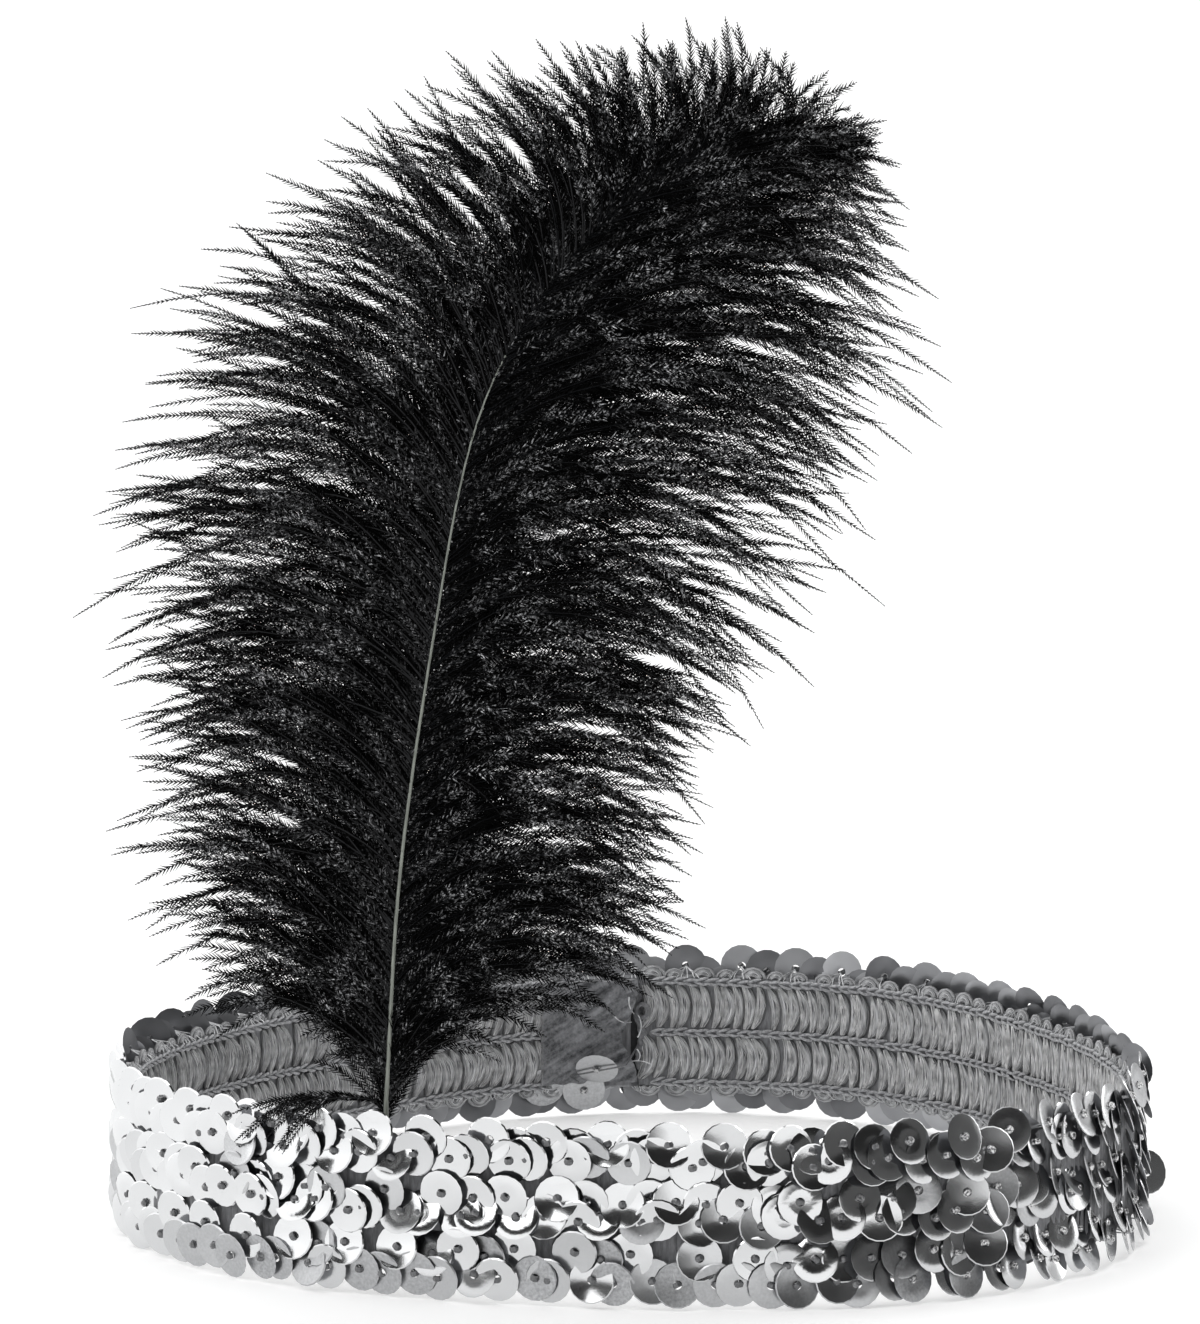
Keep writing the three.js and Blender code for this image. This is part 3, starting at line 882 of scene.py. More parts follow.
# %% Set the sequins
def band_axes(lengths, yaw, pitch):
    """Outward direction of each sequin and its own upright, after its turn and tilt."""
    _, along, inward = band_frame(lengths)
    outward = -np.cos(yaw)[:, None] * inward - np.sin(yaw)[:, None] * along
    facing = level(outward) * np.cos(pitch)[:, None]
    facing[:, 2] = np.sin(pitch)
    rising = -level(outward) * np.sin(pitch)[:, None]
    rising[:, 2] = np.cos(pitch)
    return facing, rising


lengths, heights, rows, steps, sequin_random = sequin_places()
yaw, pitch, lifted = sequin_turns(lengths, rows, sequin_random)
places = band_point(lengths, SEQUIN_INSET + 0.9 * MM * lifted + 0.4 * MM * (steps == 3), heights)
share = lengths / LOOP_LENGTH
cup = np.where(share > 0.53, sequin_random.uniform(0.3, 1.5, len(share)),
               sequin_random.uniform(0.3, 2.2, len(share)))
dull = 0.7 * sequin_random.uniform(0, 1, len(lengths)) ** 8
# Painted shade: the lowest string at the front left is grainy and worn, and is also darkened for the
# shaded floor that it reflects.
front_left = smooth_step(share, 0.3, 0.36) * (1 - smooth_step(share, 0.55, 0.6))
worn_and_painted_shade = front_left * (rows == 0) * (steps > 0)
dull = dull + 0.9 * worn_and_painted_shade * sequin_random.uniform(0, 1, len(dull)) ** 0.7
inside = (share < 0.16) | (share > 0.84)
# Painted shade: from the front right on, every sequin is dulled and darkened a little, because less
# light falls there.
dull = dull + smooth_step(share, 0.54, 0.62) * sequin_random.uniform(0.1, 0.5, len(dull))
dull = np.clip(np.where(inside, sequin_random.uniform(0, 1, len(dull)), dull), 0, 1)
# One sequin in six in front has tipped up, towards the board over the camera, and a few at the
# right have turned back towards the light side.
chance = sequin_random.uniform(0, 1, len(dull))
front = (chance < 0.16) & (share > 0.35) & (share < 0.54)
pitch = np.where(front, np.radians(sequin_random.uniform(17, 25, len(yaw))), pitch)
cup = np.where(front, 0.3 + 0.3 * cup, cup)
# As many again have tipped by half of that, and show a dark half.
half_dark = (chance > 0.16) & (chance < 0.34) & (share > 0.35) & (share < 0.54)
pitch = np.where(half_dark, np.radians(sequin_random.uniform(9, 15, len(yaw))), pitch)
cup = np.where(half_dark, 1.6 + 0.3 * cup, cup)
size = np.stack([1 + 0 * cup, 1 + 0 * cup, cup], axis=1)
lit = (chance < 0.24) & (share > 0.54) & (share < 0.62)
yaw = np.where(lit, np.radians(sequin_random.uniform(14, 20, len(yaw))), yaw)
facing, rising = band_axes(lengths, yaw, pitch)
scatter("sequins", cup_sequin(), places, facing, rising, size, sequin_silver, "sequins",
        ["sequin_face"], shade=dull)
print("sequins:", len(lengths))

# %% [markdown]
# ## Thread at the holes
#
# Every sequin is held by thread that comes out of its hole and turns over in a small knot. Most
# knots are dark with one bright point in them, and those at the right bend carry painted glints.

# %% One knot
def sequin_stitch():
    t = np.linspace(0, np.pi, 5)
    line = np.stack([0.42 * MM * np.cos(t), 0.02 * MM + 0.42 * MM * np.sin(t), 0 * t], axis=1)
    knot = ring_mesh("knot", tube_rings(line, 0.24 * MM, 0.42 * MM, 6)[..., [0, 2, 1]])
    return joined("sequin_stitch", knot)


dark_thread, tree, shader = new_material(
    "grey polyester beading thread", roughness=0.3, coat_weight=0.8, coat_roughness=0.08)
# Beading thread is waxed, so a knot has a small sharp light on its crown.
ply = noise(tree, 0.3 * MM, 2.0)
tone = mix_colours(tree, ply, "#0e0f10", "#77787b")
# Painted highlight: at the right bend the knots' colour turns light grey with white spots, as
# glints.
painted_glints = mix_colours(tree, ramp(tree, ply, 0.42, 0.58), "#46474a", "#ffffff")
knot_tone = mix_colours(tree, attribute(tree, "shade"), tone, painted_glints)
tree.links.new(knot_tone, shader.inputs["Base Color"])
turn = np.radians(sequin_random.normal(0, 25, len(lengths)))
turn = turn + np.where(lengths / LOOP_LENGTH < OVERLAP_TURN, 0, np.pi)
sideways = np.cross(rising, facing)
stitch_rising = np.cos(turn)[:, None] * rising + np.sin(turn)[:, None] * sideways
# The shade attribute marks the knots at the right bend, which get the painted glints.
scatter("sequin_stitches", sequin_stitch(), places, facing, stitch_rising, FULL_SIZE, dark_thread,
        "sequins", shade=smooth_step(share, 0.54, 0.62) * (share < 0.84))

# %% [markdown]
# ## Thread fans at the edges
#
# The outermost sequins stand above the elastic, so their thread has to come back over the edge. It
# fans out from each hole to both sides of a yarn loop, in fine clear strands with painted glints.

# %% Fans of clear thread
clear_thread, tree, shader = new_material("clear nylon thread", roughness=0.2, ior=1.53)
# Painted glints: the thread's colour is mottled from grey to white.
painted_glitter = noise(tree, 0.5 * MM, 1.0)
tree.links.new(mix_colours(tree, painted_glitter, "#8f9194", "#fbfcfd"), shader.inputs["Base Color"])


def fan_paths():
    top = (rows == 2) & (steps == 0)
    bottom = (rows == 0) & (steps == 1)
    paths = []
    for chosen, side in ((top, 1), (bottom, -1)):
        edge = MIDDLE + side * ROW_SPACING
        for strand in range(6):
            reach = (strand - 2.5) / 2.5 * 2.2 * MM
            reach = reach + sequin_random.normal(0, 0.25 * MM, chosen.sum())
            start, height = lengths[chosen], heights[chosen]
            rim = edge + side * (0.9 + sequin_random.uniform(0, 0.6, chosen.sum())) * MM
            keys = [
                band_point(start, 1.35 * MM + 0 * start, height),
                band_point(start + 0.25 * reach, 2.1 * MM + 0 * start, 0.6 * height + 0.4 * rim),
                band_point(start + 0.7 * reach, 3.6 * MM + 0 * start, rim),
                band_point(start + reach, 4.25 * MM + 0 * start, edge + side * 0.5 * MM),
            ]
            paths.append(np.stack(keys, axis=1))
    return np.concatenate(paths)


strands("thread_fans", fan_paths(), 0.07 * MM, clear_thread, "sequins")

# %% [markdown]
# ## The lapped seam
#
# The strip's ends meet at the back. One smooth end is lapped over the inside and stops short of the
# other, so a dark uneven cleft is left between them, with a few thread ends in it. The lap is a
# thick sheet that follows the band. Its edges are ragged and its face has slanting wrinkles.

# %% Thick cloth that follows the band
def cloth_patch(name, lengths, heights, inset, thickness, material):
    """A closed sheet from a grid of places: lengths and heights along the band, and insets."""
    near = band_point(lengths, inset, heights)
    far = band_point(lengths, inset + thickness, heights)
    rows_, columns = lengths.shape
    points = np.concatenate([near.reshape(-1, 3), far.reshape(-1, 3)])
    flat = np.stack([lengths - lengths.min(), heights], axis=-1).reshape(-1, 2)
    flat = np.concatenate([flat, flat])
    number = np.arange(rows_ * columns).reshape(rows_, columns)
    other = number + rows_ * columns
    faces = []
    for sheet in (number, other):
        faces += np.stack([sheet[:-1, :-1], sheet[1:, :-1], sheet[1:, 1:], sheet[:-1, 1:]],
                          axis=-1).reshape(-1, 4).tolist()
    rim = np.concatenate([number[0, :-1], number[:-1, -1], number[-1, :0:-1], number[:0:-1, 0]])
    below = np.concatenate([other[0, :-1], other[:-1, -1], other[-1, :0:-1], other[:0:-1, 0]])
    faces += np.stack([rim, np.roll(rim, -1), np.roll(below, -1), below], axis=-1).tolist()
    mesh = bpy.data.meshes.new(name)
    mesh.from_pydata(points.tolist(), [], faces)
    layout = mesh.uv_layers.new(name="flat layout")
    corners = [flat[vertex] for face in faces for vertex in face]
    layout.data.foreach_set("uv", np.asarray(corners, dtype=np.float32).ravel())
    mesh.materials.append(material)
    return face_out(mesh)


# %% Smooth jersey
jersey, tree, shader = new_material("brushed polyester jersey", roughness=0.9, sheen_weight=0.35)
# The knit is fine and its face is brushed, so it reads as a soft grain with no clear loops.
nap = noise(tree, 0.5 * MM, 3.0, 0.65)
# Painted shade: slanting creases, a millimetre apart and several long, are drawn as light and dark
# bands in the colour.
CREASE_SIZE = (5 * MM, 1.1 * MM, 1.0)
slanted = mapped(tree, "UV", CREASE_SIZE, rotation=(0, 0, math.radians(-28)), vector_type="TEXTURE")
painted_crease_shade = noise(tree, 1.0, 2.0, vector=slanted)
light = ramp(tree, mix_numbers(tree, 0.62, nap, painted_crease_shade), 0.35, 0.65)
tree.links.new(mix_colours(tree, light, "#2f3033", "#8b8c8f"), shader.inputs["Base Color"])
tree.links.new(bumps(tree, nap, 0.5, 0.12 * MM), shader.inputs["Normal"])

# %% The lap
LAP_LOW, LAP_HIGH = 5.3 * MM, 20.3 * MM
LAP_THICKNESS = 0.9 * MM


def seam_lap():
    random = np.random.default_rng(31)
    across, up = np.meshgrid(np.linspace(0, 1, 32), np.linspace(0, 1, 30), indexing="ij")
    rough_end = np.cumsum(random.normal(0, 0.24 * MM, 30))
    rough_end = rough_end - rough_end.mean()
    bite = 2.1 * MM * np.exp(-((up[0] - 0.45) / 0.22) ** 2)  # the cleft is widest at mid-height
    first = 0.1 * MM + bite + 0.5 * rough_end
    lengths = first[None] + across * (TAB_LENGTH - first[None])
    ripple = 0.12 * MM * np.sin(11 * across * np.pi)
    heights = LAP_LOW + up * (LAP_HIGH - LAP_LOW) + ripple * (2 * up - 1) ** 5
    slant = np.abs(np.sin(np.pi * (1.7 * across + 1.3 * up + 0.35 * np.sin(4 * across))))
    fine = np.abs(np.sin(13 * across + 8 * up + 1.5 * np.sin(5 * up)))
    wrinkle = (0.5 * MM * (slant - 0.6) + 0.16 * MM * fine) * np.sin(np.pi * up) ** 0.5
    roll = 0.45 * MM * np.exp(-across / 0.05)
    inset = 4.35 * MM + wrinkle + roll - 0.5 * MM * (np.abs(2 * up - 1) ** 6)
    return cloth_patch("seam_lap", lengths, heights, inset, LAP_THICKNESS, jersey)


lap = seat("seam_lap", seam_lap(), "knitted_elastic", "seam_tab")

# %% Rolled end and thread ends in the cleft
def rolled_end():
    """The other end of the strip: a soft rolled edge with a small open tube in it."""
    random = np.random.default_rng(8)
    heights = np.linspace(LAP_LOW + 1.6 * MM, LAP_HIGH - 1.4 * MM, 26)
    lengths = -CLEFT / 2 + 0.35 * MM - 0.6 * MM * np.exp(-((heights - 12 * MM) / (3.4 * MM)) ** 2)
    lengths = lengths + 0.3 * MM * np.sin(heights / (1.1 * MM)) + random.normal(0, 0.14 * MM, 26)
    line = band_point(lengths, 3.85 * MM + 0 * lengths, heights)
    angles = 2 * np.pi * np.arange(8) / 8
    _, along, inward = band_frame(lengths)
    ends = np.sin(np.pi * np.linspace(0.06, 0.94, 26)) ** 0.4
    wide = ((0.6 + random.uniform(-0.12, 0.12, 26)) * ends)[:, None, None] * MM
    rings = (line[:, None] + wide * np.cos(angles)[None, :, None] * level(along)[:, None]
             + 0.6 * wide * np.sin(angles)[None, :, None] * level(inward)[:, None])
    mesh = ring_mesh("rolled_end", rings, run=heights, around=np.linspace(0, 4 * MM, 9))
    mesh.materials.append(jersey)
    return mesh


def open_tube():
    centre = band_point(np.array(-CLEFT / 2 - 0.35 * MM), np.array(4.5 * MM), 15.7 * MM)
    _, along, inward = band_frame(np.array(-CLEFT / 2))
    angles = 2 * np.pi * np.arange(12) / 12
    axis = level(inward + 0.5 * along)
    axis = axis / np.linalg.norm(axis)
    across = np.cross((0, 0, 1), axis)
    section = [(0.62, -1.0), (0.62, 0.35), (0.85, 0.55), (1.1, 0.3), (1.1, -1.0)]
    rings = []
    for angle in angles:
        spoke = math.cos(angle) * across + math.sin(angle) * np.array([0, 0, 1.15])
        rings.append([centre + radius * MM * spoke + deep * MM * axis for radius, deep in section])
    mesh = ring_mesh("open_tube", rings, closed=True)
    mesh.materials.append(jersey)
    return mesh


rubber_and_painted_shade, tree, shader = new_material("black rubber core", roughness=0.8)
# Painted shade: a dark sheet behind the cleft stands for the shade deep in it and for the knit's
# rubber core, with dark uneven lines.
sheet_mottle = noise(tree, 0.7 * MM, 2.0)
tree.links.new(mix_colours(tree, sheet_mottle, "#0b0b0c", "#303134"), shader.inputs["Base Color"])


def cut_core():
    across, up = np.meshgrid(np.linspace(-1, 1, 5), np.linspace(0, 1, 12), indexing="ij")
    heights = LAP_LOW + 0.6 * MM + up * (LAP_HIGH - LAP_LOW - 1.4 * MM)
    return cloth_patch("cut_core", across * 2.3 * MM + 0.6 * MM, heights, 2.9 * MM + 0 * up,
                       0.5 * MM, rubber_and_painted_shade)


seat("cut_core", cut_core(), "knitted_elastic")
seat("rolled_end", rolled_end(), "knitted_elastic")
seat("open_tube", open_tube(), "knitted_elastic")
THREAD_ENDS = [  # for each loose end its root, bend and tip: length from the seam, height, in mm
    ((0.4, 15.4), (1.5, 16.6), (1.2, 18.0)),
    ((0.8, 14.2), (2.6, 13.9), (3.7, 15.3)),
    ((-0.2, 8.4), (-1.1, 9.4), (0.1, 10.4)),
    ((-0.3, 15.2), (-1.3, 13.6), (-0.2, 12.0)),
    ((1.6, 8.2), (-0.4, 8.9), (-2.4, 8.0)),
]


def end_paths():
    t = np.linspace(0, 1, 8)[:, None]
    paths = []
    for keys in THREAD_ENDS:
        line = bend(*(np.array(key) * MM for key in keys), t)
        rise = 5.3 * MM + 0.5 * MM * t[:, 0]
        for offset in (0.0, 0.14 * MM):
            paths.append(band_point(line[:, 0] + offset * t[:, 0], rise, line[:, 1]))
    return np.stack(paths)


strands("thread_ends", end_paths(), 0.055 * MM, clear_thread, "knitted_elastic", sides=5)

# %% [markdown]
# ## Stray sequins
#
# A few sequins have turned over the lower edge at the seam and at the right bend. They hang by their
# thread and face their own way.

# %% Stray sequins at the seam and the right bend
STRAYS = [  # place in mm, heading and pitch of its face in degrees, share of polish lost
    ("light one at the seam", (-4.5, 62.9, 7.8), -96, -40, 0.6),
    ("grey one behind it", (-6.4, 65.2, 4.2), -84, -12, 0.8),
    ("dull one beside them", (-12.2, 64.2, 4.8), -78, -20, 1.0),
    ("one at the right bend", (71.4, -6.0, 5.9), -60, 14, 0.1),
]
stray_places, stray_facing, stray_rising = [], [], []
for _, spot, heading, pitch, _ in STRAYS:
    heading, pitch = math.radians(heading), math.radians(pitch)
    out = np.array([math.cos(heading), math.sin(heading), 0])
    stray_places.append(np.array(spot) * MM)
    stray_facing.append(math.cos(pitch) * out + np.array([0, 0, math.sin(pitch)]))
    stray_rising.append(-math.sin(pitch) * out + np.array([0, 0, math.cos(pitch)]))
stray_places, stray_facing, stray_rising = (
    np.array(values) for values in (stray_places, stray_facing, stray_rising))
STRAY_SIZE = (1.0, 1.0, 0.3)  # their cups have been pressed nearly flat
scatter("stray_sequins", cup_sequin(), stray_places, stray_facing, stray_rising, STRAY_SIZE,
        sequin_silver, "sequins", shade=np.array([row[-1] for row in STRAYS]))
scatter("stray_stitches", sequin_stitch(), stray_places, stray_facing, stray_rising, FULL_SIZE,
        dark_thread, "sequins")

# The thread that held the light one still lies straight across its face.
aslant = 0.95 * np.cross(stray_rising[0], stray_facing[0]) + 0.3 * stray_rising[0]
thread_line = (stray_places[0] + 0.42 * MM * stray_facing[0]
               + np.linspace(-4.2, 4.6, 5)[:, None] * MM * aslant)
# Both ends of the thread run back into the seam.
anchor_lengths, anchor_insets, anchor_heights = np.array([[9.6, -0.2], [5.4, 5.2], [5.6, 10.6]]) * MM
anchors = band_point(anchor_lengths, anchor_insets, anchor_heights)
thread_line = np.concatenate([anchors[:1], thread_line, anchors[1:]])
strands("stray_thread", thread_line[None], 0.15 * MM, dark_thread, "sequins", sides=5)

# %% [markdown]
# ## The patch behind the quill
#
# The quill stands inside the front of the band. The patch that holds it is a plain piece of felt,
# glued flat at both ends and humped over the quill.

# %% Felt
felt, tree, shader = new_material("pressed polyester felt", roughness=0.95, sheen_weight=0.4)
# Felt has no weave. Its fibres lie every way and give a fine cloudy grain, half a millimetre across.
fibres = noise(tree, 0.5 * MM, 4.0, 0.7)
tree.links.new(mix_colours(tree, fibres, "#1a1b1c", "#47484b"), shader.inputs["Base Color"])
tree.links.new(bumps(tree, fibres, 0.8, 0.15 * MM), shader.inputs["Normal"])

# %% The patch
PLUME_PLACE = 0.4105
PATCH_LENGTH = 22 * MM  # as it lies, with the hump
PATCH_HEIGHT = 13 * MM
PATCH_THICKNESS = 1.2 * MM
PATCH_NEAR = 4.5 * MM
PATCH_HUMP = 2.6 * MM


def quill_patch():
    across, up = np.meshgrid(np.linspace(-1, 1, 45), np.linspace(-1, 1, 15), indexing="ij")
    corner = 1 - 0.06 * np.clip(np.abs(across) - 0.85, 0, 1) / 0.15 * np.abs(up) ** 4
    lengths = PLUME_PLACE * LOOP_LENGTH + across * PATCH_LENGTH / 2
    heights = MIDDLE + up * PATCH_HEIGHT / 2 * corner
    far = np.abs(across) * PATCH_LENGTH / 2
    hump = 1 - smooth_step(far, 1.5 * MM, 4.5 * MM)
    inset = PATCH_NEAR + PATCH_HUMP * hump + 0.05 * MM * np.sin(9 * across + 5 * up)
    thickness = PATCH_THICKNESS - 0.1 * MM
    return cloth_patch("quill_patch_felt", lengths, heights, inset, thickness, felt)


patch = seat("quill_patch_felt", quill_patch(), "felt_patch", "quill_patch")

# %% [markdown]
# ## The plume
#
# An ostrich plume has a thin shaft and soft barbs. Each barb carries its own rows of barbules that
# don't hook together, which is why the plume looks like smoke at its edges. The shaft and the reach
# of the barbs follow two short tables of shares of the plume's length. The barbs are curves, and a
# tree of nodes gives each of them a thin stem and sets the barbules along it.

# %% Sizes of the plume
PLUME_LENGTH = 151 * MM
PLUME_LEAN = math.radians(4.9)
QUILL_INSET = 5.594 * MM
SHAFT_CURVE = [  # shares of the plume's length: across, up
    (0, 0), (0.012, 0.197), (0.04, 0.397), (0.075, 0.579),
    (0.125, 0.688), (0.201, 0.781), (0.289, 0.836), (0.358, 0.828),
]
REACH_TABLE = [  # share along the shaft, then left out, left up, right out, right up
    (0.0, 0.13, 0.07, 0.12, 0.07),
    (0.04, 0.17, 0.085, 0.21, 0.06),
    (0.1, 0.205, 0.1, 0.25, 0.055),
    (0.2, 0.225, 0.11, 0.25, 0.035),
    (0.4, 0.265, 0.095, 0.3, 0.005),
    (0.5, 0.275, 0.145, 0.345, 0.01),
    (0.6, 0.19, 0.195, 0.385, 0.025),
    (0.7, 0.125, 0.185, 0.345, 0.01),
    (0.8, 0.05, 0.155, 0.265, 0.015),
    (0.9, -0.025, 0.105, 0.165, 0.0),
    (1.0, -0.04, 0.05, 0.055, 0.01),
]
ARCH = {"left": 0.3, "right": 0.34}
foot = band_point(np.array(PLUME_PLACE * LOOP_LENGTH), np.array(QUILL_INSET), BAND_HEIGHT)
PLANE_RIGHT = np.array([1.0, 0, 0])
PLANE_UP = np.array([0, math.sin(PLUME_LEAN), math.cos(PLUME_LEAN)])
PLANE_FORWARD = np.array([0, -math.cos(PLUME_LEAN), math.sin(PLUME_LEAN)])


def smooth_path(knots, count):
    """Points spaced evenly on a smooth curve through the knots."""
    knots = np.asarray(knots, dtype=float)
    padded = np.concatenate([[2 * knots[0] - knots[1]], knots, [2 * knots[-1] - knots[-2]]])
    pieces = []
    for i in range(len(knots) - 1):
        p0, p1, p2, p3 = padded[i:i + 4]
        t = np.linspace(0, 1, 24, endpoint=False)[:, None]
        pieces.append(0.5 * (2 * p1 + (p2 - p0) * t + (2 * p0 - 5 * p1 + 4 * p2 - p3) * t ** 2
                             + (3 * p1 - p0 - 3 * p2 + p3) * t ** 3))
    fine = np.concatenate(pieces + [knots[-1:]])
    run = np.concatenate([[0], np.cumsum(np.linalg.norm(np.diff(fine, axis=0), axis=1))])
    wanted = np.linspace(0, run[-1], count)
    return np.stack([np.interp(wanted, run, fine[:, k]) for k in range(fine.shape[1])], axis=1)


SHAFT_POINTS = 400
flat_shaft = smooth_path(SHAFT_CURVE, SHAFT_POINTS) * PLUME_LENGTH
SHAFT = foot + flat_shaft[:, :1] * PLANE_RIGHT + flat_shaft[:, 1:] * PLANE_UP
SHAFT_TANGENT = np.gradient(SHAFT, axis=0)
SHAFT_TANGENT /= np.linalg.norm(SHAFT_TANGENT, axis=1, keepdims=True)
print("shaft tip in mm:", np.round(SHAFT[-1] / MM, 1))


# %% Black feather
# Barbules are almost too fine to shine. They soak up light, and a few lie so that they glint.
feather_black, tree, shader = new_material(
    "dyed ostrich barbules", roughness=0.4, ior=1.55, specular_ior_level=0.02)
glint_patches = ramp(tree, noise(tree, 0.5 * MM, 3.0, 0.7), 0.5, 0.66)
# A run of barbules that leans the right way glints together, as a light streak along its barb. From
# afar a glint is only a paler barbule, so it is painted as a tone.
glint = calculate(tree, "MULTIPLY", glint_patches, attribute(tree, "sheen"))
tree.links.new(mix_colours(tree, glint, "#010101", "#d2d3d6"), shader.inputs["Base Color"])

# The stem of a barb is smooth keratin, dyed nearly black and only a little glossy.
barb_black, tree, shader = new_material(
    "dyed ostrich barb stems", roughness=0.3, ior=1.55, specular_ior_level=0.12)
dye = noise(tree, 2.5 * MM, 2.0)
tree.links.new(mix_colours(tree, dye, "#020203", "#1e1f21"), shader.inputs["Base Color"])

# The shaft's keratin is bare. It is pale and greenish, with fibres that run up it.
shaft_keratin, tree, shader = new_material("stripped quill keratin", roughness=0.35, ior=1.55)
fibre_scale = (1 / (0.3 * MM), 1 / (0.3 * MM), 1 / (6 * MM))
fibres = noise(tree, 1.0, 2.0, vector=mapped(tree, "Object", fibre_scale))
tree.links.new(mix_colours(tree, fibres, "#3c403b", "#a2a79d"), shader.inputs["Base Color"])


# %% The tree that dresses a barb
def build_barb_tree():
    tree, given = open_tree("barbules along barbs", Barbule="Object", Spacing="Float",
                            Opening="Float", Splay="Float", Stem="Material", Material="Material")
    curve, stems = tubes(tree, given.outputs["Geometry"], 3)
    dressed = add_node(tree, "GeometryNodeJoinGeometry", {
        "Geometry": made_real(tree, stems, given.outputs["Stem"]),
    })
    shape = add_node(tree, "GeometryNodeObjectInfo", {"Object": given.outputs["Barbule"]})
    plane = named(tree, "plane")
    long = named(tree, "barbule", "FLOAT")
    # The two rows keep different spacings, so that barbules of both rows don't stand in pairs.
    for seed, side, apart in ((3, 1.0, 1.06), (4, -1.0, 0.92)):
        spots = add_node(tree, "GeometryNodeCurveToPoints", {
            "Curve": curve, "Length": calculate(tree, "MULTIPLY", given.outputs["Spacing"], apart),
        }, mode="LENGTH")
        along_barb = add_node(tree, "FunctionNodeAxesToRotation", {
            "Primary Axis": spots.outputs["Tangent"], "Secondary Axis": plane,
        }, primary_axis="Z", secondary_axis="Y")
        # Most barbules lean back from the stem, which lies in front of them as a dark line.
        low, high = (calculate(tree, "MULTIPLY", given.outputs["Splay"], end - 0.5 * side)
                     for end in (-0.8, 0.8))
        roll = add_node(tree, "FunctionNodeRandomValue", {"Min": low, "Max": high, "Seed": seed})
        wobble = add_node(tree, "FunctionNodeRandomValue",
                          {"Min": 0.8, "Max": 1.15, "Seed": seed + 10})
        swing = calculate(tree, "MULTIPLY", given.outputs["Opening"], wobble.outputs["Value"])
        signed_swing = calculate(tree, "MULTIPLY", swing, side)
        turned = along_barb.outputs["Rotation"]
        for axis, angle in (((0, 0, 1), roll.outputs["Value"]), ((0, 1, 0), signed_swing)):
            turn = add_node(tree, "FunctionNodeAxisAngleToRotation", {"Axis": axis, "Angle": angle})
            turned = add_node(tree, "FunctionNodeRotateRotation", {
                "Rotation": turned, "Rotate By": turn.outputs["Rotation"],
            }, rotation_space="LOCAL").outputs["Rotation"]
        vary = add_node(tree, "FunctionNodeRandomValue",
                        {"Min": 0.7, "Max": 1.15, "Seed": seed + 20})
        length = calculate(tree, "MULTIPLY", long, vary.outputs["Value"])
        scale = add_node(tree, "ShaderNodeCombineXYZ", {0: 1.0, 1: 1.0, 2: length})
        copies = add_node(tree, "GeometryNodeInstanceOnPoints", {
            "Points": spots.outputs["Points"], "Instance": shape.outputs["Geometry"],
            "Rotation": turned, "Scale": scale.outputs["Vector"],
        })
        row = made_real(tree, copies.outputs["Instances"], given.outputs["Material"])
        tree.links.new(row, dressed.inputs["Geometry"])
    add_node(tree, "NodeGroupOutput", {"Geometry": dressed.outputs["Geometry"]})
    return tree


BARBS = build_barb_tree()

# %% One barbule
BARBULE_WIDTH = 0.25 * MM


def barbule_shape():
    """A sliver one metre long on Z, stretched to its real length where it is placed."""
    half = BARBULE_WIDTH / 2
    mesh = bpy.data.meshes.new("barbule")
    mesh.from_pydata([(-half, 0, 0), (half, 0, 0), (0, 0, 1.0)], [], [(0, 1, 2)])
    return new_object("barbule", mesh)


# %% Paths of the barbs
BARB_POINTS = 13


